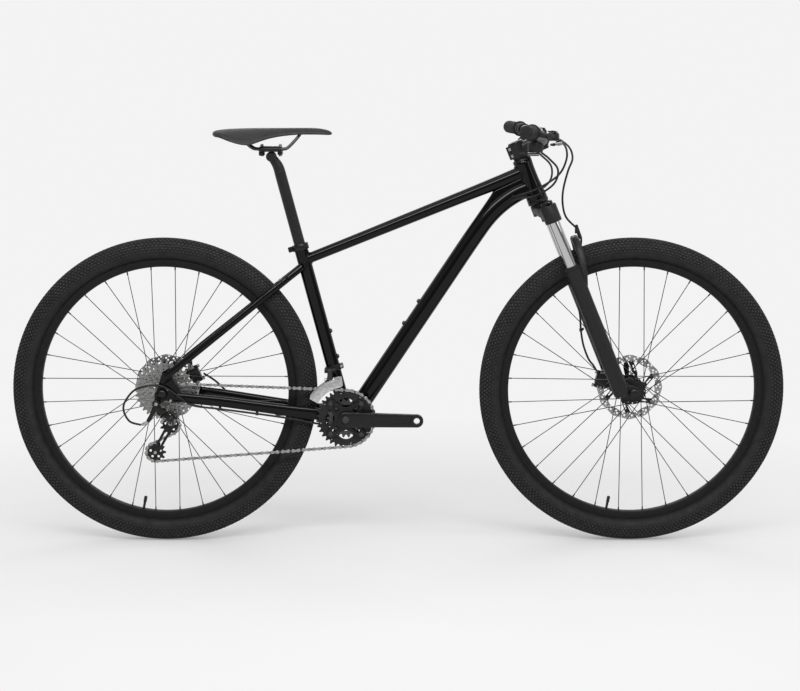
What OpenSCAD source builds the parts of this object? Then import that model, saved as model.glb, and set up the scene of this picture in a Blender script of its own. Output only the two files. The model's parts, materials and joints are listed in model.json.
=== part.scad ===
// Mountain bike: hardtail frame, sprung fork, disc brakes and a double-chainring drivetrain.
// +X points forward, +Y to the rider's left, +Z up. The origin is on the ground, midway
// between the axles. All sizes are in millimetres.

/* [Wheels] */
// Distance between the two axles
wheelbase = 1130; // [1090:5:1170]
// Outer radius of a tyre
tyre_r = 369; // [365:1:372]
// Half of the tyre's width
tyre_half_w = 28; // [26:0.5:28]
// Number of spokes in a wheel
spokes = 32; // [28, 32, 36]
// Radius of a brake rotor
rotor_r = 80; // [75:1:82]

/* [Frame] */
// Seat tube angle above the ground, in degrees
seat_angle = 75; // [74:0.5:76]
// Length of the seat tube above the bottom bracket
seat_tube_l = 430; // [420:5:440]
// Outer radius of the seat tube
seat_tube_r = 16.5; // [16:0.25:17]
// Radius of the seatpost
seatpost_r = 13.6; // [13.3:0.05:13.7]
// Steering axis angle above the ground, in degrees
head_angle = 68; // [67:0.5:69]

/* [Fork] */
// Distance from the crown race to the front axle along the steering axis
fork_l = 503; // [495:1:510]
// Distance of the front axle ahead of the steering axis
fork_offset = 42; // [40:1:44]
// Half of the distance between the two fork legs
leg_y = 62; // [61:0.5:64]
// Radius of a stanchion
stanchion_r = 14; // [13.8:0.1:14.2]

/* [Controls] */
// Half of the handlebar's width
bar_half_w = 365; // [350:5:370]
// Radius of the bar under the grips
bar_r = 11.1; // [11:0.05:11.1]

/* [Drivetrain] */
// Length of a crank arm
crank_l = 170; // [165:2.5:175]
// Side position of the chain
chain_y = -54; // [-54.5:0.1:-53.5]
// Height of the lowest pulley above the ground
tension_z = 224; // [222:1:226]

/* [Hidden] */
$fn = 64;
pitch = 12.7;
fit = 0.05;
rear = [-wheelbase / 2, tyre_r];
front = [wheelbase / 2, tyre_r];
bb = [-126, 306];
seat_dir = [-cos(seat_angle), 0, sin(seat_angle)];
seat_fwd = [sin(seat_angle), 0, cos(seat_angle)];
tilt = 90 - head_angle;
steer_up = [-sin(tilt), 0, cos(tilt)];
steer_fwd = [cos(tilt), 0, sin(tilt)];
crown = [front[0], 0, front[1]] + fork_l * steer_up - fork_offset * steer_fwd;
leg_x = 14;
head_lo = 11;
head_hi = 110;
steerer_r = 14.3;
stem_lo = 119.5;
stem_hi = 155.5;
bar = [340, 973];
lower_top = -172;
dropout_y = 67.5;
fork_face_y = 50;
rear_rotor_y = 50;
front_rotor_y = 39.5;
cog_teeth = [11, 13, 15, 17, 20, 23, 26, 30, 34];
cog_step = 4.2;
big_ring = 34;
small_ring = 22;
hanger_bolt = [-578, 346];
guide = [-548, 290];
tension = [-585, tension_z];
cage_pivot = [-543, 302];
down_start = [-76, 0, 356.5];
down_dir = [cos(56.3), 0, sin(56.3)];
down_top = [-sin(56.3), 0, cos(56.3)];
rack_eye = [-264, 641];
caliper_rear = [-499, 398];
caliper_front = [496, 386];

// ---- Shapes shared by many sub-parts ----

function unit(v) = v / norm(v);
function spline(a, b, c, d, t) =
    0.5 * (2 * b + (c - a) * t + (2 * a - 5 * b + 4 * c - d) * t * t
        + (3 * b - a - 3 * c + d) * t * t * t);

// A smooth run of m steps between each pair of route points
function curve(p, m) = let (n = len(p) - 1)
    [for (i = [0:n - 1]) for (j = [0:m - 1])
        spline(p[max(i - 1, 0)], p[i], p[i + 1], p[min(i + 2, n)], j / m), p[n]];

function place(p) = [for (q = p) [q[0], q[1], q[2]]];
function heading(p) = let (n = len(p) - 1)
    [for (i = [0:n]) unit(p[min(i + 1, n)] - p[max(i - 1, 0)])];
function square_to(v, t) = unit(v - (v * t) * t);

// A closed solid through a list of rings of equal length
module rings(r) {
    n = len(r);
    k = len(r[0]);
    polyhedron(
        points = [for (ring = r) for (q = ring) q],
        faces = concat(
            [[for (j = [0:k - 1]) j]],
            [for (i = [0:n - 2]) for (j = [0:k - 1])
                [i * k + j, (i + 1) * k + j, (i + 1) * k + (j + 1) % k, i * k + (j + 1) % k]],
            [[for (j = [k - 1:-1:0]) (n - 1) * k + j]]));
}

// An oval tube: each control point is [x, y, z, half-width along side, half-height]
module oval_sweep(ctrl, m, sides, side = [0, 1, 0], thinner = 0) {
    p = curve(ctrl, m);
    pos = place(p);
    t = heading(pos);
    rings([for (i = [0:len(p) - 1])
        let (u = square_to(side, t[i]), w = cross(t[i], u),
            a = p[i][3] - thinner, b = p[i][4] - thinner)
        [for (j = [0:sides - 1])
            pos[i] + u * a * cos(360 * j / sides) + w * b * sin(360 * j / sides)]]);
}

// A round cable along a route, its rings carried along without twist
module cable(route, r, m = 3, sides = 8) {
    pos = curve(route, m);
    t = heading(pos);
    n = len(pos);
    first = square_to(abs(t[0][1]) < 0.8 ? [0, 1, 0] : [1, 0, 0], t[0]);
    side = [for (i = 0, u = first; i < n; i = i + 1, u = i < n ? square_to(u, t[i]) : u) u];
    rings([for (i = [0:n - 1])
        let (u = side[i], w = cross(t[i], u))
        [for (j = [0:sides - 1])
            pos[i] + r * (u * cos(360 * j / sides) + w * sin(360 * j / sides))]]);
}

module rod(a, b, r, r_end = -1) {
    v = b - a;
    l = norm(v);
    translate(a) rotate([0, acos(v[2] / l), atan2(v[1], v[0])])
        cylinder(h = l, r1 = r, r2 = r_end < 0 ? r : r_end);
}

// A cylinder along Y at the place c = [x, z]
module pin_y(c, y0, y1, r) {
    translate([c[0], max(y0, y1), c[1]]) rotate([90, 0, 0])
        cylinder(h = abs(y1 - y0), r = r);
}

// Extrudes an outline drawn in X and Z from y0 to y1
module plate_y(y0, y1) {
    translate([0, max(y0, y1), 0]) rotate([90, 0, 0])
        linear_extrude(abs(y1 - y0)) children();
}

// Turns a profile drawn as [radius, side position] about the Y axis at c = [x, z]
module turned_y(c) {
    translate([c[0], 0, c[1]]) rotate([-90, 0, 0]) rotate_extrude($fn = 128) children();
}

// Moves to the steering axis: x ahead of it, y to the left, z up it from the crown race
module steering() {
    translate(crown) rotate([0, -tilt, 0]) children();
}

// Moves to the seat tube's axis, z up it from the bottom bracket
module seat_axis() {
    translate([bb[0], 0, bb[1]]) rotate([0, -(90 - seat_angle), 0]) children();
}

module both_sides() {
    children();
    mirror([0, 1, 0]) children();
}

// A link outline between two places, with round ends
module link2d(a, b, ra, rb) {
    v = b - a;
    base = atan2(v[1], v[0]);
    spread = acos((ra - rb) / norm(v));
    steps = 10;
    polygon(concat(
        [for (i = [0:steps]) let (g = base + spread + i * (360 - 2 * spread) / steps)
            a + ra * [cos(g), sin(g)]],
        [for (i = [0:steps]) let (g = base - spread + i * 2 * spread / steps)
            b + rb * [cos(g), sin(g)]]));
}

function pitch_r(n) = pitch / 2 / sin(180 / n);

// A toothed wheel's outline, with one tooth at the given angle
module gear2d(n, first = 0) {
    r = pitch_r(n);
    polygon([for (i = [0:n - 1]) for (s = [[-0.33, -3.9], [-0.12, 2.2], [0.12, 2.2], [0.33, -3.9]])
        (r + s[1]) * [cos(first + 360 * (i + s[0]) / n), sin(first + 360 * (i + s[0]) / n)]]);
}

// ---- Frame ----

module head_shape() {
    steering() rotate_extrude() polygon([[0, head_lo], [25, head_lo], [25, head_lo + 7],
        [23, head_lo + 24], [21.5, 60], [21.5, head_hi - 20], [22.5, head_hi - 6],
        [22.5, head_hi], [0, head_hi]]);
}

module head_tube() {
    color([0.02, 0.02, 0.022]) difference() {
        head_shape();
        steering() translate([0, 0, head_lo - 1]) cylinder(h = head_hi - head_lo + 2, r = 18);
    }
}

module seat_shape() {
    seat_axis() cylinder(h = seat_tube_l, r = seat_tube_r);
    pin_y(bb, -36.5, 36.5, 21.5);
}

module seat_tube() {
    color([0.02, 0.02, 0.022]) difference() {
        seat_shape();
        seat_axis() translate([0, 0, 40]) cylinder(h = seat_tube_l, r = seatpost_r + fit);
        pin_y(bb, -40, 40, 17);
    }
}

down_route = [[-120, 0, 290, 19, 21], [-76, 0, 356.5, 21, 22], [20, 0, 500.5, 22, 22],
    [115, 0, 643, 22, 22], [180, 0, 740, 22, 22], [215, 0, 788, 21, 22],
    [250, 0, 822, 20, 22], [288, 0, 847, 19, 22], [330, 0, 862, 17, 21]];

module down_tube() {
    color([0.02, 0.02, 0.022]) difference() {
        oval_sweep(down_route, 3, 24);
        oval_sweep(down_route, 3, 16, thinner = 2.5);
        seat_shape();
        head_shape();
    }
}

top_route = [[-226, 0, 683.3, 14, 12.5], [-72, 0, 745, 16, 13], [140, 0, 830.5, 17, 14.5],
    [240, 0, 870.5, 17.5, 16], [312, 0, 900, 18, 17.5]];

module top_tube() {
    color([0.02, 0.02, 0.022]) difference() {
        oval_sweep(top_route, 3, 24);
        oval_sweep(top_route, 3, 16, thinner = 2.2);
        seat_shape();
        head_shape();
        oval_sweep(down_route, 3, 24, thinner = -0.2);
    }
}

chainstay_route = [[-538, 69.5, 360.5, 6.5, 11], [-490, 67, 355, 7, 12], [-428, 60, 348, 7.5, 12.5],
    [-340, 52, 335, 8, 13], [-260, 43.5, 323, 8, 14], [-210, 38, 316, 7, 14.5],
    [-172, 34, 311, 6.5, 14.5], [-128, 28, 306, 6.5, 14.5]];

module chainstays() {
    color([0.02, 0.02, 0.022]) both_sides() difference() {
        oval_sweep(chainstay_route, 3, 16);
        seat_shape();
        dropout_shape();
        pin_y(bb, 36.4, 46.1, 21.1);
        oval_sweep(down_route, 3, 24, thinner = -0.2);
    }
}

seatstay_route = [[-556, 70, 410, 6.5, 8], [-500, 66, 454, 7, 8.5], [-420, 56, 518, 7, 8.5],
    [-340, 44, 582, 7, 8.5], [-300, 38.5, 614, 7, 8.5], [-262, 29, 644, 7, 8.5],
    [-228, 15, 670, 7, 9]];

module seatstays() {
    color([0.02, 0.02, 0.022]) difference() {
        union() {
            both_sides() {
                oval_sweep(seatstay_route, 3, 16);
                pin_y(rack_eye, 24, 40, 6);
            }
            pin_y([-283, 628], -33, 33, 8);
        }
        seat_shape();
        both_sides() dropout_shape();
        both_sides() pin_y(rack_eye, 28, 41, 2.5);
    }
}

module dropout_outline() {
    translate(rear) circle(15);
    polygon([rear + [-14, 6], [-566, 420], [-546, 432], [-540, 405], [-519, 372],
        [-519, 346], [-545, 347], rear + [-6, -14]]);
}

module dropout_shape() {
    plate_y(dropout_y, dropout_y + 6) dropout_outline();
}

// An open slot for an axle stub, leading down from the axle at c
module axle_slot(c, y0, y1, lean) {
    pin_y(c, y0, y1, 5 + fit);
    translate([c[0], min(y0, y1), c[1]]) rotate([0, lean, 0])
        translate([-5 - fit, 0, -30]) cube([10 + 2 * fit, abs(y1 - y0), 30]);
}

module dropouts() {
    color([0.03, 0.03, 0.032]) {
        both_sides() difference() {
            dropout_shape();
            axle_slot(rear, dropout_y - 1, dropout_y + 7, 0);
            pin_y([-548, 408], dropout_y - 1, dropout_y + 7, 2.5);
        }
        difference() {
            plate_y(-dropout_y - 10.5, -dropout_y - 6) {
                translate(hanger_bolt) circle(9);
                difference() {
                    polygon([hanger_bolt + [-8, -4], rear + [-15, 8], rear + [0, 16],
                        rear + [14, 6], rear + [12, -10], hanger_bolt + [9, -2]]);
                    translate(rear) circle(11.5);
                }
            }
            pin_y(rear, -90, -dropout_y, 11.5);
            pin_y(hanger_bolt, -90, -dropout_y, 5);
        }
    }
}

module frame_bosses() {
    color([0.12, 0.12, 0.125]) {
        for (s = [195, 259])
            rod(down_start + s * down_dir + 22.1 * down_top,
                down_start + s * down_dir + 27 * down_top, 4.5);
        for (s = [145, 209])
            rod([bb[0], 0, bb[1]] + s * seat_dir + (seat_tube_r + 0.1) * seat_fwd,
                [bb[0], 0, bb[1]] + s * seat_dir + (seat_tube_r + 5) * seat_fwd, 4.5);
        both_sides() pin_y([276, 838], 20.4, 21.6, 7);
    }
}

module bearing_cups() {
    color([0.05, 0.05, 0.05]) {
        steering() {
            rotate_extrude() polygon([[steerer_r + fit, 1], [24, 1], [25.5, 3],
                [25.5, head_lo], [17.9, head_lo], [17.9, head_lo + 14],
                [steerer_r + fit, head_lo + 14]]);
            rotate_extrude() polygon([[steerer_r + fit, head_hi - 14], [17.9, head_hi - 14],
                [17.9, head_hi], [23, head_hi], [22.5, head_hi + 3], [18, head_hi + 6],
                [steerer_r + fit, head_hi + 6]]);
        }
        both_sides() difference() {
            union() {
                pin_y(bb, 36.5, 46, 21);
                pin_y(bb, 24, 36.5, 16.9);
            }
            pin_y(bb, 20, 50, 12 + fit);
        }
    }
}

module seat_clamp() {
    color([0.06, 0.06, 0.065]) {
        difference() {
            seat_axis() {
                translate([0, 0, seat_tube_l - 14]) cylinder(h = 15, r = seat_tube_r + 3.6);
                translate([-seat_tube_r - 15, -6.5, seat_tube_l - 13])
                    cube([14, 13, 13]);
            }
            seat_axis() {
                translate([0, 0, seat_tube_l - 15]) cylinder(h = 15, r = seat_tube_r + 0.02);
                cylinder(h = seat_tube_l + 2, r = seatpost_r + fit);
                translate([-seat_tube_r - 16, -1, seat_tube_l - 15]) cube([20, 2, 18]);
                translate([-seat_tube_r - 9, -8, seat_tube_l - 6.5]) rotate([-90, 0, 0])
                    cylinder(h = 16, r = 3);
            }
        }
        seat_axis() translate([-seat_tube_r - 9, -10, seat_tube_l - 6.5]) rotate([-90, 0, 0]) {
            cylinder(h = 18, r = 2.9);
            cylinder(h = 3.4, r = 4.4);
        }
    }
}

// ---- Brakes ----

module turned_block(c, y0, y1, turn, long, high) {
    translate([c[0], y0, c[1]]) rotate([0, turn, 0])
        translate([-long / 2, 0, -high / 2]) cube([long, y1 - y0, high]);
}

// A caliper body with its slot for the rotor, bridged on its outward side
module caliper(c, rotor_y, turn, outward) {
    difference() {
        union() {
            turned_block(c, rotor_y - 8.8, rotor_y + 15, turn, 28, 32);
            pin_y(c, rotor_y - 9, rotor_y + 15.5, 15.5);
        }
        translate([c[0], rotor_y - 3.5, c[1]]) rotate([0, turn, 0])
            translate([outward > 0 ? -40 : -10.5, 0, -30]) cube([50.5, 7, 60]);
    }
    turned_block(c, rotor_y - 3.5, rotor_y - 1.2, turn, 18, 18);
}

module moving_pad(c, rotor_y, turn) {
    color([0.35, 0.3, 0.25]) turned_block(c, rotor_y + 1.25, rotor_y + 3.4, turn, 18, 18);
}

rear_turn = -24;
front_turn = 14;

module rear_caliper() {
    color([0.05, 0.05, 0.055]) caliper(caliper_rear, rear_rotor_y, rear_turn, 1);
}

module rear_pad() {
    moving_pad(caliper_rear, rear_rotor_y, rear_turn);
}

module front_caliper() {
    color([0.05, 0.05, 0.055]) difference() {
        caliper(caliper_front, front_rotor_y, front_turn, -1);
        leg_shape(0.1);
    }
}

module front_pad() {
    moving_pad(caliper_front, front_rotor_y, front_turn);
}

// A rotor: a wavy ring, six arms, a carrier disc and its bolts
module rotor(c, y) {
    color([0.75, 0.76, 0.78]) {
        plate_y(y - 0.9, y + 0.9) translate(c) {
            difference() {
                polygon([for (a = [0:3:357])
                    (rotor_r - 1.5 + 1.5 * cos(12 * a)) * [cos(a), sin(a)]]);
                circle(rotor_r - 16);
            }
            for (a = [0:60:300]) rotate(a) link2d([22, 0], [rotor_r - 17, 26], 4.5, 3.5);
            difference() {
                circle(27);
                circle(15);
            }
        }
        for (a = [0:60:300])
            pin_y(c + 21 * [cos(a + 15), sin(a + 15)], y + 0.5, y + 3, 3.2);
    }
}

module front_rotor() {
    rotor(front, front_rotor_y);
}

module rear_rotor() {
    rotor(rear, rear_rotor_y);
}

// ---- Wheels ----

tyre_out = [[11.2, 58.2], [11.3, 51.6], [14, 50.4], [20, 47.5], [25.5, 41], [28, 31],
    [27.6, 21], [24.5, 11.5], [18, 4.5], [9.5, 0.8]];
tyre_in = [[9, 5.2], [16, 8.5], [21.5, 15], [24.3, 23], [24.7, 31], [22.5, 39], [17.5, 45],
    [12, 48], [8.2, 51], [8.2, 58.2]];
rim_half = [[12.6, 70.2], [12.6, 52], [11.4, 52], [11.4, 58.4], [7, 58.4], [6, 62]];
rim_bed = 70.2;

// A wheel section given as [half-width, depth below the tread], drawn on both sides
module section(points, close) {
    w = tyre_half_w / 28;
    right = [for (p = points) [tyre_r - p[1], p[0] * (p[0] > 12.7 ? w : 1)]];
    left = [for (i = [len(points) - 1:-1:0]) [right[i][0], -right[i][1]]];
    polygon(concat(right, close, left));
}

module tyre(c) {
    color([0.025, 0.025, 0.025]) turned_y(c) difference() {
        section(tyre_out, [[tyre_r, 0]]);
        section(tyre_in, []);
    }
}

module rim(c) {
    color([0.02, 0.02, 0.02]) turned_y(c) section(rim_half, []);
}

// Spokes laced three-cross from two flanges, each with its nipple at the rim
module wheel_spokes(c, flange_left, flange_right) {
    rim_r = tyre_r - rim_bed;
    step = 360 / spokes;
    color([0.08, 0.08, 0.085]) for (i = [0:spokes - 1]) {
        left = i % 2 == 0;
        leads = i % 4 < 2 ? 1 : -1;
        y = left ? flange_left + 3.5 * leads : flange_right - 3.5 * leads;
        rim_a = i * step + 6;
        hub_a = rim_a + leads * 66;
        root = [c[0] + 29 * cos(hub_a), y, c[1] + 29 * sin(hub_a)];
        tip = [c[0] + (rim_r - 0.3) * cos(rim_a), left ? 1.5 : -1.5,
            c[1] + (rim_r - 0.3) * sin(rim_a)];
        along = unit(root - tip);
        rod(root, tip, 1, $fn = 16);
        rod(tip + 8 * along, tip, 1.7, $fn = 16);
    }
}

// A hub shell profile between y0 and y1 with two spoke flanges
module hub_shell(c, y0, y1, flange_left, flange_right, barrel) {
    color([0.04, 0.04, 0.042]) difference() {
        union() {
            pin_y(c, y0, y1, barrel);
            pin_y(c, flange_left - 1.5, flange_left + 1.5, 32);
            pin_y(c, flange_right - 1.5, flange_right + 1.5, 32);
            pin_y(c, flange_left, y1, 20);
            pin_y(c, y1 - 1, y1 + 2.5, 14.8);
        }
        pin_y(c, y0 - 5, y1 + 5, 5 + fit);
    }
}

module front_tyre() {
    tyre(front);
}

module front_rim() {
    rim(front);
}

module front_spokes() {
    wheel_spokes(front, 29, -32);
}

module front_hub() {
    hub_shell(front, -40, front_rotor_y - 0.95, 29, -32, 15);
}

module rear_tyre() {
    tyre(rear);
}

module rear_rim() {
    rim(rear);
}

module rear_spokes() {
    wheel_spokes(rear, 34, -14);
}

module rear_hub() {
    hub_shell(rear, -18.6, rear_rotor_y - 0.95, 34, -14, 17);
}

// An axle with its locknuts and its quick-release skewer, nut and cam housing
module axle_set(c, right_face, left_face, nut_y, cam_y, right_hub, left_hub) {
    color([0.1, 0.1, 0.1]) {
        difference() {
            union() {
                pin_y(c, right_face - 5, left_face + 5, 5);
                pin_y(c, right_face, right_hub, 9);
                pin_y(c, left_hub, left_face, 9);
            }
            pin_y(c, right_face - 10, left_face + 10, 2.6);
        }
        pin_y(c, nut_y - 14, cam_y + 6, 2.5);
        pin_y(c, nut_y - 14, nut_y, 10.6);
        pin_y(c, cam_y, cam_y + 6, 9);
    }
}

module qr_lever(c, cam_y) {
    color([0.12, 0.12, 0.12]) translate([c[0], cam_y + 12.6, c[1]]) {
        translate([-7, 0, 0]) rotate([0, 90, 0]) cylinder(h = 14, r = 6.4);
        translate([0, 2, 0]) rotate([90, 0, 0]) linear_extrude(4)
            link2d([0, 0], [-6, 52], 6, 8);
    }
}

module front_axle() {
    axle_set(front, -fork_face_y, fork_face_y, -fork_face_y - 10, fork_face_y + 10, -40.3, 42.5);
}

module rear_axle() {
    axle_set(rear, -dropout_y, dropout_y, -dropout_y - 6.1, dropout_y + 6.1, -58, 53);
}

module front_qr_lever() {
    qr_lever(front, fork_face_y + 10);
}

module rear_qr_lever() {
    qr_lever(rear, dropout_y + 6.1);
}

// ---- Fork and steering ----

module leg_shape(more = 0) {
    steering() both_sides() translate([leg_x, leg_y, -fork_l + 3])
        cylinder(h = fork_l - 3 + lower_top, r = 19.5 + more);
}

arch_route = [[22, 60, -222, 12, 9], [34, 57, -190, 11, 9], [44, 51, -158, 10, 8.5],
    [47, 40, -131, 9.5, 8], [48, 22, -115, 9.5, 8], [48, 0, -110, 9.5, 8],
    [48, -22, -115, 9.5, 8], [47, -40, -131, 9.5, 8], [44, -51, -158, 10, 8.5],
    [34, -57, -190, 11, 9], [22, -60, -222, 12, 9]];

module fork_lowers() {
    color([0.035, 0.035, 0.037]) difference() {
        union() {
            leg_shape();
            steering() {
                oval_sweep(arch_route, 3, 16, [1, 0, 0]);
                both_sides() translate([leg_x, leg_y, lower_top - 6]) cylinder(h = 8, r = 21);
            }
            both_sides() plate_y(fork_face_y, fork_face_y + 10)
                link2d(front, front + [-26, 8], 15, 13);
        }
        steering() both_sides() translate([leg_x, leg_y, -fork_l + 48])
            cylinder(h = fork_l, r = stanchion_r + fit);
        both_sides() axle_slot(front, fork_face_y - 1, fork_face_y + 11, 0);
        both_sides() pin_y(front, fork_face_y + 10, 90, 10.8);
    }
}

module fork_crown() {
    steering() {
        color([0.05, 0.05, 0.052]) {
            difference() {
                translate([0, 0, -24]) cylinder(h = 179, r = steerer_r);
                cylinder(h = 200, r = steerer_r - 2.4);
            }
            both_sides() difference() {
                hull($fn = 32) {
                    translate([0, 0, -26]) cylinder(h = 26, r = 23);
                    translate([leg_x, leg_y, -50]) cylinder(h = 44, r = 20.5);
                }
                translate([leg_x, leg_y, -5.9]) cylinder(h = 10, r = 24);
                translate([-40, -32, -60]) cube([100, 64, 27.5]);
            }
            translate([leg_x, leg_y, -8]) cylinder(h = 8, r = 12.5);
        }
        color([0.75, 0.76, 0.78]) both_sides() difference() {
            translate([leg_x, leg_y, -345]) cylinder(h = 320, r = stanchion_r);
            translate([leg_x, leg_y, -346]) cylinder(h = 280, r = stanchion_r - 2);
        }
    }
}

module fork_knob() {
    color([0.08, 0.08, 0.085]) steering() translate([leg_x, -leg_y, -5.8]) {
        cylinder(h = 8, r = 14);
        linear_extrude(7) link2d([0, 0], [3, -19], 9, 4);
    }
}

bar_v = [bar[0], 0, bar[1]] - crown;
bar_at = [bar_v * steer_fwd, bar_v * steer_up];

module stem() {
    color([0.03, 0.03, 0.032]) steering() {
        for (z = [[head_hi + 6.1, stem_lo, 18.5], [stem_hi, stem_hi + 4, 17]])
            difference() {
                translate([0, 0, z[0]]) cylinder(h = z[1] - z[0], r = z[2]);
                cylinder(h = stem_hi, r = steerer_r + fit);
            }
        difference() {
            union() {
                translate([0, 0, stem_lo]) cylinder(h = stem_hi - stem_lo, r = 19.5);
                translate([-24, -9, stem_lo + 2]) cube([16, 18, stem_hi - stem_lo - 4]);
                plate_y(-17, 17) link2d([8, (stem_lo + stem_hi) / 2], bar_at, 16, 17);
                pin_y(bar_at, -24, 24, 20.5);
            }
            translate([0, 0, 80]) cylinder(h = 90, r = steerer_r + fit);
            translate([-30, -1, 110]) cube([30, 2, 60]);
            pin_y(bar_at, -40, 40, 15.9 + fit);
            translate([bar_at[0] + 3, -30, 100]) cube([40, 60, 80]);
        }
        difference() {
            union() {
                pin_y(bar_at, -24, 24, 20.5);
                for (y = [-17, 17], z = [-21, 21])
                    translate([bar_at[0] + 3, y, bar_at[1] + z]) rotate([0, 90, 0])
                        cylinder(h = 9, r = 5);
            }
            pin_y(bar_at, -40, 40, 15.9 + fit);
            translate([bar_at[0] - 30, -30, 100]) cube([34, 60, 80]);
        }
    }
}

bend_end = [323, 130, 991.5];
bar_end = [284, bar_half_w, 996.5];
bar_dir = unit(bar_end - bend_end);
function on_bar(y) = bend_end + (y - bend_end[1]) / bar_dir[1] * bar_dir;
grip_in = bar_half_w - 127;

// Moves to the bar at side position y: x points down, y back and z outboard along the bar
module at_bar(y) {
    translate(on_bar(y)) rotate([0, acos(bar_dir[2]), atan2(bar_dir[1], bar_dir[0])])
        children();
}

module handlebar() {
    color([0.05, 0.05, 0.052]) difference() {
        union() {
            pin_y(bar, -32, 32, 15.9);
            both_sides() {
                oval_sweep([[bar[0], 28, bar[1], 14.6, 14.6], [bar[0] - 1, 44, bar[1] + 0.5, 14.4, 14.4],
                    [bar[0] - 4, 66, bar[1] + 4.5, 13.6, 13.6],
                    [bar[0] - 9, 96, bar[1] + 13, 12.4, 12.4],
                    [bend_end[0], bend_end[1], bend_end[2], 11.8, 11.8],
                    concat(on_bar(142), [11.8, 11.8])], 4, 24, [1, 0, 0]);
                rod(bend_end, bar_end, bar_r);
            }
        }
        both_sides() rod(on_bar(150), bar_end + 5 * bar_dir, bar_r - 2);
    }
}

module grips() {
    color([0.04, 0.04, 0.04]) both_sides() difference() {
        union() {
            rod(on_bar(grip_in), bar_end + 3 * bar_dir, 15.6);
            rod(on_bar(grip_in), on_bar(grip_in + 4), 19);
        }
        rod(on_bar(grip_in - 5), bar_end + 0.2 * bar_dir, bar_r + fit);
    }
}

perch_y = 226;
pod_y = 204;
lever_pivot = [22, -58, -18];

module brake_perches() {
    color([0.05, 0.05, 0.055]) both_sides() at_bar(perch_y) {
        difference() {
            union() {
                translate([0, 0, -6]) cylinder(h = 12, r = 15.5);
                translate([0, -42, -6]) cube([14, 30, 12]);
            }
            translate([0, 0, -10]) cylinder(h = 20, r = bar_r + fit);
        }
        translate([9, -41, -44]) cylinder(h = 66, r = 10);
        translate([17, -58, -26]) cube([2.7, 16, 16]);
    }
}

module brake_lever() {
    color([0.1, 0.1, 0.105]) at_bar(perch_y) {
        translate(lever_pivot + [-1.9, 0, 0]) rotate([0, 90, 0]) cylinder(h = 8, r = 7);
        oval_sweep([[24, -58, -18, 4, 5], [24, -63, 6, 4, 5], [25, -62, 34, 3.5, 5.5],
            [26, -56, 62, 3.5, 5.5], [27, -53, 84, 3.5, 5], [27, -57, 96, 3, 4]],
            3, 12, [1, 0, 0]);
    }
}

module brake_lever_left() {
    brake_lever();
}

module brake_lever_right() {
    mirror([0, 1, 0]) brake_lever();
}

module shifter_pods() {
    color([0.06, 0.06, 0.065]) both_sides() at_bar(pod_y) {
        difference() {
            union() {
                translate([0, 0, -5]) cylinder(h = 10, r = 15);
                translate([8, -8, -5]) cube([14, 16, 10]);
            }
            translate([0, 0, -8]) cylinder(h = 16, r = bar_r + fit);
        }
        translate([22, -4, -2]) rotate([0, 90, 0]) cylinder(h = 24, r = 18);
    }
}

// A shift paddle under the pod, from its pivot towards the tip
module paddle(gap, tip, thick) {
    at_bar(pod_y) translate([46 + gap, -4, -2]) rotate([0, 90, 0])
        linear_extrude(thick) link2d([0, 0], tip, 9, 7);
}

module shift_thumb_left() {
    color([0.08, 0.08, 0.08]) paddle(0.3, [26, 26], 4);
}

module shift_thumb_right() {
    color([0.08, 0.08, 0.08]) mirror([0, 1, 0]) paddle(0.3, [26, 26], 4);
}

module shift_trigger_left() {
    color([0.1, 0.1, 0.1]) paddle(4.7, [14, -30], 3);
}

module shift_trigger_right() {
    color([0.1, 0.1, 0.1]) mirror([0, 1, 0]) paddle(4.7, [14, -30], 3);
}

// ---- Cables ----

hose_r = 2.5;
front_hose_top = [[362, 176, 982], [372, 150, 978], [394, 110, 970], [414, 60, 952],
    [420, 36, 926], [409, 31, 896], [398, 30, 852], [397, 30, 816], [406, 30, 784],
    [432, 30, 758]];
front_hose_low = [[442, 30, 740], [442, 34, 715], [433, 37, 680], [427, 38, 640],
    [434, 40, 590], [443, 47, 545], [446, 52, 508], [453, 57, 470], [466, 59, 436],
    [478, 56, 420], [486, 52, 408]];
rear_hose_top = [[362, -176, 982], [374, -140, 976], [394, -90, 955], [398, -52, 925],
    [380, -36, 888], [330, -38, 856], [290, -30, 842], [276, -24.4, 836]];
shift_top = [[330, -176, 948], [350, -150, 932], [374, -110, 905], [368, -70, 870],
    [330, -48, 842], [290, -34, 834], [272, -24.4, 830]];
shift_low = [[-140, -14, 281], [-175, -28, 286], [-215, -36, 294], [-260, -43, 304],
    [-340, -52, 317], [-428, -61, 330], [-490, -73, 340], [-520, -81, 359],
    [-550, -85, 382], [-580, -86, 391], [-625, -86, 382], [-651, -86, 354],
    [-656, -86, 330], [-642, -86, 304], [-617, -86, 295]];
rear_hose_low = [[-140, 14, 281], [-175, 28, 286], [-215, 36, 294], [-260, 43, 304],
    [-340, 54, 316], [-385, 67, 328], [-420, 71.5, 352], [-450, 70, 380], [-477, 62, 399]];
function mirrored(p) = [for (q = p) [q[0], -q[1], q[2]]];

module handlebar_cables() {
    color([0.03, 0.03, 0.03]) {
        cable(front_hose_top, hose_r, 2);
        cable(rear_hose_top, hose_r, 2);
        cable(shift_top, hose_r, 2);
        cable(mirrored(shift_top), hose_r, 2);
    }
}

module front_hose() {
    color([0.03, 0.03, 0.03]) cable(front_hose_low, hose_r, 2);
}

module frame_cables() {
    color([0.03, 0.03, 0.03]) {
        cable(shift_low, hose_r, 2);
        cable(rear_hose_low, hose_r, 2);
    }
}

// ---- Drivetrain ----

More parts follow.
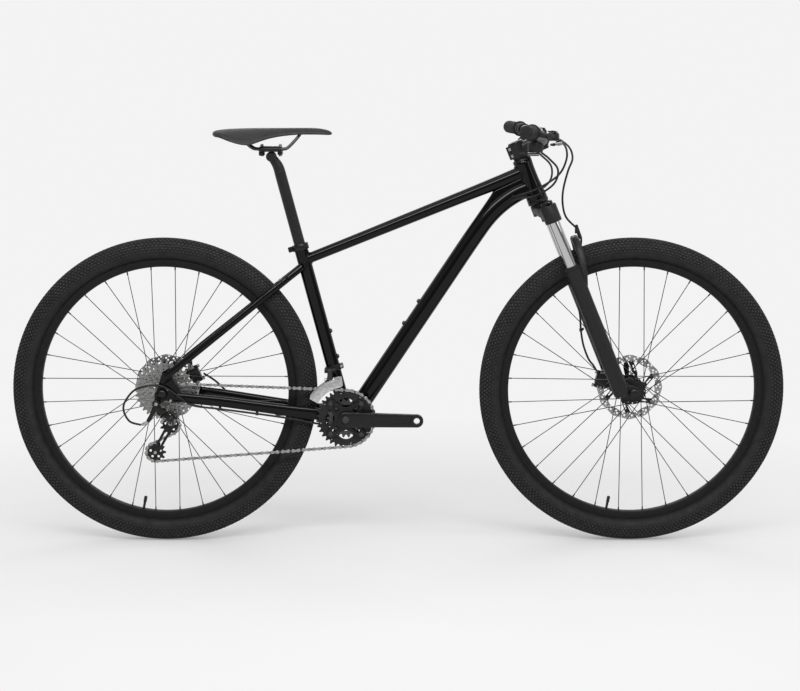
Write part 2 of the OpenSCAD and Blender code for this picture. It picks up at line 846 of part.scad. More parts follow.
module cassette() {
    color([0.7, 0.7, 0.72]) difference() {
        union() {
            for (i = [0:len(cog_teeth) - 1])
                plate_y(chain_y + i * cog_step - 0.9, chain_y + i * cog_step + 0.9)
                    translate(rear) gear2d(cog_teeth[i], i == 0 ? 90 : 0);
            pin_y(rear, chain_y - 3, chain_y + 8 * cog_step + 1, 16.5);
        }
        pin_y(rear, -80, 0, 5 + fit);
    }
}

ring_bolts = [45:90:315];

module chainrings() {
    color([0.5, 0.5, 0.52]) {
        plate_y(chain_y - 1, chain_y + 1) translate(bb) difference() {
            gear2d(big_ring, 90);
            circle(46);
            for (a = ring_bolts) rotate(a) translate([52, 0]) circle(4);
        }
        plate_y(chain_y + 7, chain_y + 9) translate(bb) difference() {
            gear2d(small_ring);
            circle(28.5);
            for (a = ring_bolts) rotate(a) translate([34, 0]) circle(3.3);
        }
    }
}

// One crank arm, reaching along X from the bottom bracket to its pedal thread
module arm(reach) {
    difference() {
        hull($fn = 32) {
            pin_y(bb, 62, 80, 18);
            pin_y(bb + [reach, 0], 84, 98, 16);
        }
        pin_y(bb + [reach, 0], 80, 102, 7.14);
        pin_y(bb + [reach, 0], 76, 84, 17);
    }
}

module crank_arms() {
    color([0.05, 0.05, 0.052]) {
        arm(-crank_l);
        mirror([0, 1, 0]) arm(crank_l);
        pin_y(bb, -61.9, 61.9, 12);
        difference() {
            plate_y(-61.9, chain_y - 1.1) translate(bb) {
                circle(24);
                for (a = ring_bolts) rotate(a) link2d([15, 0], [50, 0], 11, 9);
            }
            pin_y(bb, -80, 0, 12 + fit);
        }
        for (a = ring_bolts) {
            pin_y(bb + 52 * [cos(a), sin(a)], chain_y - 1.5, chain_y + 2, 3.9);
            pin_y(bb + 34 * [cos(a), sin(a)], chain_y - 1.5, chain_y + 9.5, 3.2);
        }
    }
}

// Tangent run between two wheels; cross is true where they turn opposite ways
function tangent(a, b, ra, rb, side, crossing) =
    let (v = b - a, l = norm(v), u = v / l, lean = (ra + (crossing ? rb : -rb)) / l,
        n = [-u[1], u[0]] * side,
        k = u * lean + n * sqrt(1 - lean * lean))
    [a + ra * k, b + (crossing ? -rb : rb) * k];

// The chain's way around c from p to q as [place, direction of its left side];
// sense is 1 where it turns clockwise and -1 where it turns the other way
function turn(c, r, p, q, sense) =
    let (a0 = atan2(p[1] - c[1], p[0] - c[0]), a1 = atan2(q[1] - c[1], q[0] - c[0]),
        w = (sense * (a0 - a1) + 720) % 360, n = ceil(w / 12))
    [for (i = [0:n]) let (g = a0 - sense * w * i / n, k = [cos(g), sin(g)]) [c + r * k, sense * k]];

ring_r = pitch_r(big_ring);
cog_r = pitch_r(cog_teeth[0]);
pulley_r = pitch_r(11);
top_run = tangent(rear, bb, cog_r, ring_r, 1, false);
low_run = tangent(tension, bb, pulley_r, ring_r, -1, false);
cog_to_guide = tangent(rear, guide, cog_r, pulley_r, 1, true);
guide_to_tension = tangent(guide, tension, pulley_r, pulley_r, 1, true);

chain_path = concat(
    turn(bb, ring_r, top_run[1], low_run[1], 1),
    turn(tension, pulley_r, low_run[0], guide_to_tension[1], 1),
    turn(guide, pulley_r, guide_to_tension[0], cog_to_guide[1], -1),
    turn(rear, cog_r, cog_to_guide[0], top_run[0], 1));

module chain2d(half) {
    difference() {
        polygon([for (p = chain_path) p[0] + half * p[1]]);
        polygon([for (p = chain_path) p[0] - half * p[1]]);
    }
}

module chain() {
    color([0.6, 0.6, 0.62]) {
        plate_y(chain_y - 2.9, chain_y - 1.4) chain2d(3.8);
        plate_y(chain_y + 1.4, chain_y + 2.9) chain2d(3.8);
        for (t = [top_run, low_run])
            for (s = [2:floor(norm(t[1] - t[0]) / pitch) - 2])
                pin_y(t[0] + s * pitch * unit(t[1] - t[0]), chain_y - 2.2, chain_y + 2.2, 2.5,
                    $fn = 16);
    }
}

// ---- Front derailleur ----

fd_pivot = [-165, -33, 419];
fd_hang = [-165, -50, 399];

module fd_clamp() {
    color([0.1, 0.1, 0.105]) difference() {
        union() {
            seat_axis() translate([0, 0, 113]) cylinder(h = 14, r = seat_tube_r + 3);
            translate([-178, -31, 414]) cube([26, 26, 10]);
            rod(fd_pivot + [-13, 0, 0], fd_pivot + [-7.2, 0, 0], 6);
            rod(fd_pivot + [7.2, 0, 0], fd_pivot + [13, 0, 0], 6);
            rod(fd_pivot + [-13, 0, 0], fd_pivot + [13, 0, 0], 2.5);
        }
        seat_axis() cylinder(h = seat_tube_l, r = seat_tube_r + 0.02);
        difference() {
            rod(fd_pivot + [-7.2, 0, 0], fd_pivot + [7.2, 0, 0], 7.5);
            rod(fd_pivot + [-13, 0, 0], fd_pivot + [13, 0, 0], 2.5);
        }
    }
}

module fd_links() {
    color([0.12, 0.12, 0.125]) difference() {
        translate([fd_pivot[0] - 7, 0, 0]) rotate([90, 0, 90]) linear_extrude(14)
            link2d([fd_pivot[1], fd_pivot[2]], [fd_hang[1], fd_hang[2]], 5.5, 5);
        rod(fd_pivot + [-9, 0, 0], fd_pivot + [9, 0, 0], 2.5 + fit);
        rod(fd_hang + [-9, 0, 0], fd_hang + [9, 0, 0], 2.5 + fit);
    }
}

// A sector of a ring around the bottom bracket
module sector2d(r0, r1, a0, a1) {
    translate(bb) intersection() {
        difference() {
            circle(r1);
            circle(r0);
        }
        polygon(concat([[0, 0]],
            [for (i = [0:4]) 2 * r1 * [cos(a0 + (a1 - a0) * i / 4), sin(a0 + (a1 - a0) * i / 4)]]));
    }
}

module fd_cage() {
    color([0.72, 0.72, 0.74]) {
        plate_y(-61.6, -60.2) sector2d(76.5, 101, 97, 152);
        difference() {
            plate_y(-47.8, -46.4) sector2d(76.5, 103, 95, 150);
            translate([-173, -49, 391.5]) cube([16, 4, 25]);
        }
        plate_y(-61, -47) sector2d(98.5, 100.3, 98, 103);
        plate_y(-61, -47) sector2d(77.2, 79.2, 145, 149);
        rod(fd_hang + [-13, 0, 0], fd_hang + [13, 0, 0], 2.5);
        for (x = [-12, 7.4]) translate(fd_hang + [x, 0, 0]) rotate([0, 90, 0])
            cylinder(h = 4.6, r = 4.5);
    }
}

// ---- Rear derailleur ----

rd_in = unit([0, 0.8, -0.6]);
rd_down = square_to([0.62, 0, -0.78], rd_in);
rd_rest = 25;
link_l = 32;
link_dir = cos(rd_rest) * rd_down - sin(rd_rest) * rd_in;
pin_dir = cross(rd_down, rd_in);
link_top = [-562, -84, 322];
link_low = link_top + link_l * link_dir;

// Moves to a pivot of the parallelogram: x along the link, z along its pins
module link_frame(at) {
    y = cross(pin_dir, link_dir);
    multmatrix([[link_dir[0], y[0], pin_dir[0], at[0]], [link_dir[1], y[1], pin_dir[1], at[1]],
        [link_dir[2], y[2], pin_dir[2], at[2]], [0, 0, 0, 1]]) children();
}

// A forked end that holds a link's pin
module fork_end(at, back) {
    link_frame(at) {
        translate([0, 0, -11]) cylinder(h = 22, r = 2.5);
        for (z = [-11.5, 7.5]) translate([0, 0, z]) linear_extrude(4)
            link2d([0, 0], [back, 0], 5.5, 5.5);
    }
}

module rd_b_knuckle() {
    color([0.08, 0.08, 0.085]) {
        pin_y(hanger_bolt, -94, -78.2, 9.5);
        pin_y(hanger_bolt, -90, -68, 4.95);
        fork_end(link_top, -10);
        plate_y(-93, -80) link2d(hanger_bolt, [-572, 332], 9, 8);
        plate_y(-90, -82) link2d(hanger_bolt, [-598, 304], 7, 5);
        rod([-597, -86, 302], [-614.5, -86, 295.5], 4);
    }
}

module rd_links() {
    color([0.12, 0.12, 0.125]) difference() {
        link_frame(link_top) translate([0, 0, -7.2]) linear_extrude(14.4)
            link2d([0, 0], [link_l, 0], 5, 5);
        link_frame(link_top) translate([0, 0, -9]) cylinder(h = 18, r = 2.5 + fit);
        link_frame(link_low) translate([0, 0, -9]) cylinder(h = 18, r = 2.5 + fit);
    }
}

module rd_p_knuckle() {
    color([0.08, 0.08, 0.085]) {
        fork_end(link_low, 9);
        difference() {
            pin_y(cage_pivot, -108, -62.6, 10.5);
            link_frame(link_low) translate([0, 0, -7.5]) cylinder(h = 15, r = 7);
            link_frame(link_low) translate([-link_l, -6, -7.5]) cube([link_l, 12, 15]);
            pin_y(cage_pivot, -70, -62, 4);
        }
    }
}

module rd_cage() {
    color([0.1, 0.1, 0.105]) {
        for (y = [-61.6, -48]) plate_y(y, y + 1.6) {
            link2d(guide, cage_pivot, 11, 9);
            link2d(guide, tension, 9, 8);
        }
        pin_y(cage_pivot, -69, -61, 3.95);
        pin_y(guide, -61, -47, 2.5);
        pin_y(tension, -61, -47, 2.5);
    }
}

module pulley(c) {
    color([0.1, 0.1, 0.1]) difference() {
        union() {
            plate_y(chain_y - 1, chain_y + 1) translate(c) gear2d(11);
            pin_y(c, chain_y - 3.4, chain_y + 3.4, 7);
        }
        pin_y(c, -80, -40, 2.5 + fit);
    }
}

module guide_pulley() {
    pulley(guide);
}

module tension_pulley() {
    pulley(tension);
}

// ---- Seat ----

head_pivot = [-304, 932];

module seatpost() {
    color([0.05, 0.05, 0.052]) {
        difference() {
            seat_axis() translate([0, 0, 325]) cylinder(h = 292, r = seatpost_r);
            seat_axis() translate([0, 0, 324]) cylinder(h = 280, r = seatpost_r - 2.4);
        }
        plate_y(-11, 11) link2d([-288, 904], head_pivot, 12, 10.5);
        pin_y(head_pivot, -19, 19, 12);
    }
}

// Rows of the saddle: [x, half-width, top, thickness at the middle, height of the wing's edge]
saddle_rows = [[-442, 28, 991, 9, 985], [-436, 46, 994.5, 15, 984], [-422, 60, 996.8, 18, 980],
    [-400, 70, 998.8, 18, 971], [-372, 73, 1000, 18, 963], [-350, 69, 1000.6, 18, 962.5],
    [-325, 56, 1001, 17, 971], [-305, 45, 1001.2, 16, 977], [-278, 34, 1001.3, 16, 982.5],
    [-240, 25, 1001.3, 15, 986.5], [-203, 21, 1001, 15, 987], [-180, 18, 998.5, 13, 986],
    [-166, 13, 994.5, 10, 985], [-159, 5, 989.5, 5, 985.5]];

// An arched cover whose wings droop at the sides
module saddle_shape() {
    rings([for (q = curve(saddle_rows, 3))
        [for (j = [0:31]) let (a = 360 * j / 32, c = cos(a), s = sin(a), mid = q[2] - q[3] / 2,
            rise = q[3] / 2 * pow(abs(s), 0.75))
            [q[0], q[1] * c, mid - (mid - q[4]) * pow(abs(c), 2.3) + (s > 0 ? rise : -rise)]]]);
}

rail_route = [[-376, 31, 990], [-370, 30, 977], [-361, 26, 963.5], [-350, 23, 954],
    [-338, 22, 950], [-272, 22, 950], [-262, 21, 955], [-249, 17, 968], [-237, 12, 982],
    [-231, 10, 992]];

module rails() {
    both_sides() {
        rod(rail_route[4], rail_route[5], 3.5);
        cable([for (i = [0:4]) rail_route[i]], 3.5, 3);
        cable([for (i = [5:9]) rail_route[i]], 3.5, 3);
    }
}

module saddle() {
    color([0.05, 0.05, 0.055]) saddle_shape();
    color([0.15, 0.15, 0.15]) difference() {
        rails();
        saddle_shape();
    }
    color([0.08, 0.08, 0.085]) difference() {
        union() {
            translate([-334, -28, 944.1]) cube([58, 56, 5.4]);
            translate([-330, -28, 950.5]) cube([52, 56, 5.5]);
            translate([-334, -20, 934]) cube([14.5, 40, 10.2]);
            translate([-289, -20, 936]) cube([13, 40, 8.2]);
            for (x = [-326, -282]) {
                translate([x, 0, 938]) cylinder(h = 22, r = 2.6);
                translate([x, 0, 958]) pin_y([0, 0], -9, 9, 4);
            }
        }
        both_sides() rod([-360, 22, 950], [-250, 22, 950], 3.5 + fit);
    }
}

head_tube();
top_tube();
down_tube();
seat_tube();
chainstays();
seatstays();
dropouts();
frame_bosses();
bearing_cups();
seat_clamp();
rear_axle();
rear_caliper();
frame_cables();
chain();
fd_clamp();
fd_links();
fd_cage();
fork_crown();
stem();
handlebar();
grips();
brake_perches();
shifter_pods();
handlebar_cables();
fork_knob();
fork_lowers();
front_axle();
front_caliper();
front_hose();
front_pad();
rear_pad();
front_tyre();
front_rim();
front_spokes();
front_hub();
front_rotor();
rear_tyre();
rear_rim();
rear_spokes();
rear_hub();
rear_rotor();
cassette();
crank_arms();
chainrings();
seatpost();
saddle();
brake_lever_left();
brake_lever_right();
shift_thumb_left();
shift_thumb_right();
shift_trigger_left();
shift_trigger_right();
rd_b_knuckle();
rd_links();
rd_p_knuckle();
rd_cage();
guide_pulley();
tension_pulley();
front_qr_lever();
rear_qr_lever();
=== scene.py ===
"""The looks of the mountain bike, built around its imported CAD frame."""

import json
import math

import bmesh
import bpy
import numpy as np
from mathutils import Matrix, Vector
from mathutils.bvhtree import BVHTree


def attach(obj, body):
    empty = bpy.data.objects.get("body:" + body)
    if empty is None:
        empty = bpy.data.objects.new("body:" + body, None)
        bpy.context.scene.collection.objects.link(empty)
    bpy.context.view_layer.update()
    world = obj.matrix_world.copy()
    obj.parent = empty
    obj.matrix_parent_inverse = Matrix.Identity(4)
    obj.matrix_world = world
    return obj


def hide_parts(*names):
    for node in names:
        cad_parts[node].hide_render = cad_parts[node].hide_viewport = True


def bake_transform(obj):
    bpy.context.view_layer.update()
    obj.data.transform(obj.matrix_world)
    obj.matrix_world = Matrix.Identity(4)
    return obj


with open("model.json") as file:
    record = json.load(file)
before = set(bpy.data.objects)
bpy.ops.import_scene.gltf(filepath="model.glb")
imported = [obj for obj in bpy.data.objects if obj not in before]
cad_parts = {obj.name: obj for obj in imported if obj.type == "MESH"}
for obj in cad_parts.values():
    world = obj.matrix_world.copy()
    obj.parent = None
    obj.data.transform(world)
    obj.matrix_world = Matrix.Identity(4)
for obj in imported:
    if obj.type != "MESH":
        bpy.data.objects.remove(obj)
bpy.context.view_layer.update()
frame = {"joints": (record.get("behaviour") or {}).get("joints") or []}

MM = 0.001  # shapes are worked out in millimetres and built in metres
SCENE = bpy.context.scene
JOINTS = {j["name"]: j for j in frame["joints"]}
AXES = X, Y, Z = np.eye(3)
SIDES = ((1, "left"), (-1, "right"))


def joint_at(name):
    """A hinge's place at rest, in millimetres."""
    return np.array(JOINTS[name]["pos_m"]) / MM


def joint_axis(name):
    return np.array(JOINTS[name]["axis"], float)


FRONT = joint_at("front_wheel_spin")
REAR = joint_at("rear_wheel_spin")
BB = joint_at("crank_spin")
CROWN = joint_at("steering")
STEER_UP = joint_axis("steering")
STEER_FWD = np.array([STEER_UP[2], 0, -STEER_UP[0]])
SEAT_UP = joint_axis("seatpost_height")
SEAT_FWD = np.array([SEAT_UP[2], 0, -SEAT_UP[0]])
STEER_BASIS = (STEER_FWD, Y, STEER_UP)
SEAT_BASIS = (SEAT_FWD, Y, SEAT_UP)
TYRE_R = FRONT[2]
LEG_AHEAD, LEG_SIDE = 14, 62  # a fork leg from the steering axis
CHAIN_Y = -54.0
PITCH = 12.7
CRANK_R = 170.0
RING_ARMS = [math.radians(45 + 90 * k) for k in range(4)]  # the spider's arms
BIG_RING, SMALL_RING, PULLEY = 34, 22, 11
COGS = (11, 13, 15, 17, 20, 23, 26, 30, 34)
COG_STEP = 4.2
GUIDE = joint_at("guide_pulley_spin")
TENSION = joint_at("tension_pulley_spin")


# ---------------------------------------------------------------- vectors and curves


def vec(*p):
    return np.array(p, float)


def unit(v):
    v = np.asarray(v, float)
    return v / np.linalg.norm(v)


def steer(x, y, z):
    """A place in millimetres given ahead of, beside and up the steering axis."""
    return CROWN + x * STEER_FWD + y * Y + z * STEER_UP


def seat(s, ahead=0.0, y=0.0):
    """A place given up the seat tube from the bottom bracket."""
    return BB + s * SEAT_UP + ahead * SEAT_FWD + y * Y


def spline(points, steps):
    """A smooth run through the points, which may hold more numbers than three."""
    p = np.array(points, float)
    n = len(p) - 1
    out = []
    for i in range(n):
        a, b, c, d = p[max(i - 1, 0)], p[i], p[i + 1], p[min(i + 2, n)]
        for t in np.arange(steps) / steps:
            out.append(0.5 * (2 * b + (c - a) * t + (2 * a - 5 * b + 4 * c - d) * t**2
                              + (3 * b - a - 3 * c + d) * t**3))
    return np.array(out + [p[n]])


def ring_angles(n):
    return np.arange(n) * 2 * math.pi / n


def superellipse(a, b, power, n):
    """Points of a rounded outline with half-widths a and b; power 2 is an ellipse."""
    t = ring_angles(n)
    c, s = np.cos(t), np.sin(t)
    k = 2 / power
    return np.stack([a * np.sign(c) * np.abs(c) ** k, b * np.sign(s) * np.abs(s) ** k], 1)


def headings(p):
    """The unit direction of travel at each point of a path."""
    d = np.gradient(p, axis=0)
    return d / np.linalg.norm(d, axis=1)[:, None]


def carried_frames(p, side):
    """Heading, side and up vectors along a path, carried along it without twist."""
    t = headings(p)
    u = unit(side - (side @ t[0]) * t[0])
    sides = []
    for h in t:
        u = unit(u - (u @ h) * h)
        sides.append(u)
    sides = np.array(sides)
    return t, sides, np.cross(t, sides)


def turned_about(axis, angles):
    """Unit vectors square to an axis, one for each angle round it."""
    u = unit(np.cross(axis, X if abs(axis[0]) < 0.9 else Z))
    return np.outer(np.cos(angles), u) + np.outer(np.sin(angles), np.cross(axis, u))


def around(angle):
    """The direction at an angle in the plane of the wheels."""
    return vec(math.cos(angle), 0, math.sin(angle))


def xz(p):
    """The [x, z] of a place."""
    return vec(p[0], p[2])


def at_depth(q, y):
    """The place at a depth y behind or before a spot [x, z]."""
    x, z = q
    return vec(x, y, z)


def spot(c, r, angle):
    """A point of a flat circle, as [x, z]."""
    return c[0] + r * math.cos(angle), c[1] + r * math.sin(angle)


# ---------------------------------------------------------------- meshes


class Solid:
    """Closed shapes, in millimetres, gathered into one mesh."""

    def __init__(self):
        self.points, self.faces = [], []

    def add(self, points, faces):
        base = len(self.points)
        self.points.extend(np.asarray(points, float))
        self.faces.extend([tuple(base + i for i in f) for f in faces])
        return self

    def loft(self, rings, caps=True, closed=False):
        """Skins a list of rings of equal length, each turning from side to up about its heading."""
        n, k = len(rings), len(rings[0])
        faces = []
        for i in range(n if closed else n - 1):
            j = (i + 1) % n
            faces += [(i * k + a, i * k + (a + 1) % k, j * k + (a + 1) % k, j * k + a)
                      for a in range(k)]
        if caps and not closed:
            faces.append(tuple(reversed(range(k))))
            faces.append(tuple((n - 1) * k + a for a in range(k)))
        return self.add(np.concatenate(rings), faces)

    def sweep(self, path, outline, side, scale):
        """Sweeps an outline of [side, up] points along a path; scale is one pair a place."""
        path = np.asarray(path, float)
        _, u, w = carried_frames(path, side)
        return self.loft([path[i] + np.outer(outline[:, 0] * scale[i][0], u[i])
                          + np.outer(outline[:, 1] * scale[i][1], w[i])
                          for i in range(len(path))])

    def tube(self, path, radius, sides, side=None):
        path = np.asarray(path, float)
        r = np.broadcast_to(radius, (len(path),))
        h = path[1] - path[0]
        if side is None:
            side = Y if abs(unit(h)[1]) < 0.8 else X
        return self.sweep(path, superellipse(1, 1, 2, sides), side, np.stack([r, r], 1))

    def lathe(self, profile, origin, axis, sides, caps=True):
        """Turns [radius, height] points about an axis; a closed profile has caps off."""
        axis = unit(axis)
        spin = turned_about(axis, ring_angles(sides))
        rings = [origin + h * axis + r * spin for r, h in profile]
        return self.loft(rings, caps, closed=not caps)

    def rod(self, a, b, radius, sides, chamfer=0.0):
        """A round bar from a to b with chamfered ends."""
        a, b = np.asarray(a, float), np.asarray(b, float)
        l = np.linalg.norm(b - a)
        c = min(chamfer, l / 3, radius / 2)
        profile = [(radius, 0), (radius, l)] if c == 0 else [
            (radius - c, 0), (radius, c), (radius, l - c), (radius - c, l)]
        return self.lathe(profile, a, b - a, sides)

    def pipe(self, a, b, outer, inner, sides, chamfer):
        """An open round sleeve from a to b."""
        a, b = np.asarray(a, float), np.asarray(b, float)
        l, c = np.linalg.norm(b - a), chamfer
        profile = [(inner, c), (inner + c, 0), (outer - c, 0), (outer, c),
                   (outer, l - c), (outer - c, l), (inner + c, l), (inner, l - c)]
        return self.lathe(profile, a, b - a, sides, caps=False)

    def block(self, centre, size, basis, chamfer, power, sides=20):
        """A rounded block: a soft-cornered outline lofted with chamfered ends."""
        h = np.array(size, float) / 2
        rings = []
        for z, inset in ((-h[2], chamfer), (-h[2] + chamfer, 0),
                         (h[2] - chamfer, 0), (h[2], chamfer)):
            o = superellipse(h[0] - inset, h[1] - inset, power, sides)
            rings.append(centre + np.outer(o[:, 0], basis[0]) + np.outer(o[:, 1], basis[1])
                         + z * basis[2])
        return self.loft(rings)

    def hex_bolt(self, at, axis, radius, height):
        """A round screw head with a hexagonal socket sunk in its face."""
        axis = unit(axis)
        a = ring_angles(24)
        spin = turned_about(axis, a)
        reach = 1 / np.cos((a % (math.pi / 3)) - math.pi / 6)
        hexagon = spin * (reach * radius * 0.5)[:, None]
        c = radius * 0.15
        return self.loft([at + radius * spin, at + (height - c) * axis + radius * spin,
                          at + height * axis + (radius - c) * spin,
                          at + height * axis + hexagon, at + height * 0.45 * axis + hexagon])

    def build(self, name, material, angle=40.0):
        """The mesh object, in metres, shaded smooth except at sharp edges."""
        data = bpy.data.meshes.new(name)
        data.from_pydata((np.array(self.points) * MM).tolist(), [], self.faces)
        data.materials.append(material)
        merge_close(data)
        return link(name, data, angle)

    def piece(self, name, material, body, slot, *nodes, angle=40.0):
        """Builds the mesh object and hands it over as a finished piece."""
        return piece(self.build(name, material, angle), body, slot, *nodes)


def link(name, data, angle):
    data.update()
    data.shade_smooth()
    data.set_sharp_from_angle(angle=math.radians(angle))
    obj = bpy.data.objects.new(name, data)
    SCENE.collection.objects.link(obj)
    return obj


def circle2d(centre, radius, sides):
    return [spot(centre, radius, t) for t in ring_angles(sides)]


def plate(name, outlines, y, thick, material, chamfer, rounds=1):
    """A flat plate in the X-Z plane: the first outline is its edge and the others its holes."""
    curve = bpy.data.curves.new(name, "CURVE")
    curve.dimensions = "2D"
    curve.fill_mode = "BOTH"
    curve.extrude = thick / 2 - chamfer
    curve.bevel_depth = chamfer
    curve.bevel_resolution = rounds
    curve.offset = -chamfer
    for outline in outlines:
        s = curve.splines.new("POLY")
        s.points.add(len(outline) - 1)
        s.points.foreach_set("co", np.array([(p[0], p[1], 0, 1) for p in outline]).ravel())
        s.use_cyclic_u = True
    flat = bpy.data.objects.new(name, curve)
    SCENE.collection.objects.link(flat)
    bpy.context.view_layer.update()
    depsgraph = bpy.context.evaluated_depsgraph_get()
    data = bpy.data.meshes.new_from_object(flat.evaluated_get(depsgraph))
    bpy.data.objects.remove(flat)
    bpy.data.curves.remove(curve)
    data.transform(Matrix.Scale(MM, 4) @ Matrix.Translation((0, y, 0))
                   @ Matrix.Rotation(math.radians(90), 4, "X"))
    data.materials.clear()
    data.materials.append(material)
    merge_close(data)
    return link(name, data, 30)


def merge_close(data):
    """Welds the seams that a converted curve leaves between its faces and its bevel."""
    b = bmesh.new()
    b.from_mesh(data)
    bmesh.ops.remove_doubles(b, verts=b.verts, dist=1e-6)
    bmesh.ops.recalc_face_normals(b, faces=b.faces)
    b.to_mesh(data)
    b.free()


def join(name, objects):
    """Joins objects into the first one and renames it."""
    with bpy.context.temp_override(active_object=objects[0], object=objects[0],
                                   selected_objects=objects, selected_editable_objects=objects):
        bpy.ops.object.join()
    objects[0].name = name
    return objects[0]


def moved(obj, change):
    """Moves an object's points, in millimetres, by a function of their array."""
    co = np.zeros(len(obj.data.vertices) * 3)
    obj.data.vertices.foreach_get("co", co)
    obj.data.vertices.foreach_set("co", (change(co.reshape(-1, 3) / MM) * MM).ravel())
    obj.data.update()
    return obj


def piece(obj, body, slot, *nodes):
    """Hands a finished piece to its body and hides the CAD nodes it stands for; the material slot
    is not used.
    """
    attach(obj, body)
    if nodes:
        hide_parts(*nodes)
    return obj


# ---------------------------------------------------------------- materials


class Look:
    """A procedural material around one Principled shader, in object coordinates in metres."""

    def __init__(self, name, colour, rough, metal=0.0, **inputs):
        self.material = bpy.data.materials.new(name)
        self.material.use_nodes = True
        self.tree = self.material.node_tree
        self.shader = self.tree.nodes["Principled BSDF"]
        self.shader.inputs["Base Color"].default_value = (*colour, 1)
        self.shader.inputs["Roughness"].default_value = rough
        self.shader.inputs["Metallic"].default_value = metal
        for key, value in inputs.items():
            self.shader.inputs[key.replace("_", " ")].default_value = value
        self.place = self.node("ShaderNodeTexCoord").outputs["Object"]
        self.height = None

    def node(self, kind, **values):
        n = self.tree.nodes.new(kind)
        for key, value in values.items():
            if key in n.inputs:
                n.inputs[key].default_value = value
            else:
                setattr(n, key, value)
        return n

    def wire(self, a, b):
        self.tree.links.new(a, b)

    def stretched(self, scale):
        n = self.node("ShaderNodeMapping")
        n.inputs["Scale"].default_value = scale
        self.wire(self.place, n.inputs["Vector"])
        return n.outputs["Vector"]

    def noise(self, scale, detail, stretch=None, where=None):
        n = self.node("ShaderNodeTexNoise", Scale=scale, Detail=detail)
        source = where if where is not None else (
            self.place if stretch is None else self.stretched(stretch))
        self.wire(source, n.inputs["Vector"])
        return n.outputs["Fac"]

    def cells(self, scale):
        n = self.node("ShaderNodeTexVoronoi", Scale=scale)
        self.wire(self.place, n.inputs["Vector"])
        return n.outputs["Distance"]

    def radius_from(self, centre):
        """Distance from a wheel's axis, as a texture place for turned or brushed rings."""
        away = self.node("ShaderNodeVectorMath", operation="SUBTRACT")
        away.inputs[1].default_value = tuple(centre * MM)
        self.wire(self.place, away.inputs[0])
        flat = self.node("ShaderNodeVectorMath", operation="MULTIPLY")
        flat.inputs[1].default_value = (1, 0, 1)
        self.wire(away.outputs[0], flat.inputs[0])
        length = self.node("ShaderNodeVectorMath", operation="LENGTH")
        self.wire(flat.outputs[0], length.inputs[0])
        place = self.node("ShaderNodeCombineXYZ")
        self.wire(length.outputs["Value"], place.inputs["X"])
        return place.outputs["Vector"]

    def ranged(self, fac, low, high, start=0.3, end=0.7):
        n = self.node("ShaderNodeMapRange")
        n.inputs["From Min"].default_value, n.inputs["From Max"].default_value = start, end
        n.inputs["To Min"].default_value, n.inputs["To Max"].default_value = low, high
        self.wire(fac, n.inputs["Value"])
        return n.outputs["Result"]

    def rough_by(self, fac, low, high):
        self.wire(self.ranged(fac, low, high), self.shader.inputs["Roughness"])
        return self

    def colour_by(self, fac, low, high, start=0.3, end=0.7):
        ramp = self.node("ShaderNodeValToRGB")
        ramp.color_ramp.elements[0].position, ramp.color_ramp.elements[1].position = start, end
        ramp.color_ramp.elements[0].color = (*low, 1)
        ramp.color_ramp.elements[1].color = (*high, 1)
        self.wire(fac, ramp.inputs["Fac"])
        self.wire(ramp.outputs["Color"], self.shader.inputs["Base Color"])
        return self

    def bump(self, fac, strength, distance):
        n = self.node("ShaderNodeBump", Strength=strength, Distance=distance)
        self.wire(fac, n.inputs["Height"])
        if self.height is not None:
            self.wire(self.height, n.inputs["Normal"])
        self.height = n.outputs["Normal"]
        self.wire(self.height, self.shader.inputs["Normal"])
        return self


def grey(v, warm=0.0):
    return (v * (1 + warm), v, v * (1 - warm))


def paint_look():
    m = Look("gloss_black_paint", grey(0.002), 0.3, Coat_Weight=0.7, Coat_Roughness=0.05,
             Coat_IOR=1.37, Specular_IOR_Level=0.0)
    m.colour_by(m.noise(9000, 1), grey(0.001), grey(0.004), 0.45, 0.75)
    return m.bump(m.noise(420, 1), 0.025, 0.0001).material


def satin_look(name, tone, rough, metal=0.0):
    m = Look(name, grey(tone), rough, metal, Specular_IOR_Level=0.3)
    m.colour_by(m.noise(160, 4), grey(tone * 0.85), grey(tone * 1.25))
    m.rough_by(m.noise(900, 3), rough - 0.07, rough + 0.08)
    return m.bump(m.noise(2600, 2), 0.12, 0.00008).material


def moulded_look(name, tone, rough):
    m = Look(name, grey(tone), rough, Specular_IOR_Level=0.3)
    m.rough_by(m.noise(300, 4), rough - 0.08, rough + 0.1)
    return m.bump(m.cells(1500), 0.2, 0.00012).material


def brushed_look(name, tone, centre, rough, warm=0.0):
    """Steel turned or ground in rings about a wheel's axis."""
    m = Look(name, grey(tone, warm), rough, 1.0)
    rings = m.noise(5200, 2, where=m.radius_from(centre))
    m.rough_by(rings, rough - 0.08, rough + 0.12)
    m.colour_by(m.noise(220, 4), grey(tone * 0.72, warm), grey(tone * 1.05, warm))
    return m.bump(rings, 0.08, 0.00005).material


def plated_look(name, tone, rough=0.3, warm=0.02):
    m = Look(name, grey(tone, warm), rough, 1.0)
    m.colour_by(m.noise(500, 4), grey(tone * 0.6, warm), grey(tone * 1.05, warm))
    m.rough_by(m.noise(1400, 3), rough - 0.08, rough + 0.15)
    return m.bump(m.noise(2500, 2), 0.06, 0.00005).material


def chrome_look():
    m = Look("stanchion_chrome", grey(0.52), 0.06, 1.0)
    m.rough_by(m.noise(900, 2, stretch=(1, 1, 0.05)), 0.04, 0.09)
    return m.bump(m.noise(60, 1), 0.01, 0.0001).material


def rubber_look(name, tone, rough=0.72):
    m = Look(name, grey(tone), rough, Specular_IOR_Level=0.2)
    m.colour_by(m.noise(90, 5), grey(tone * 0.75), grey(tone * 1.35))
    m.rough_by(m.noise(240, 4), rough - 0.1, rough + 0.08)
    return m.bump(m.noise(1900, 3), 0.25, 0.00015).material


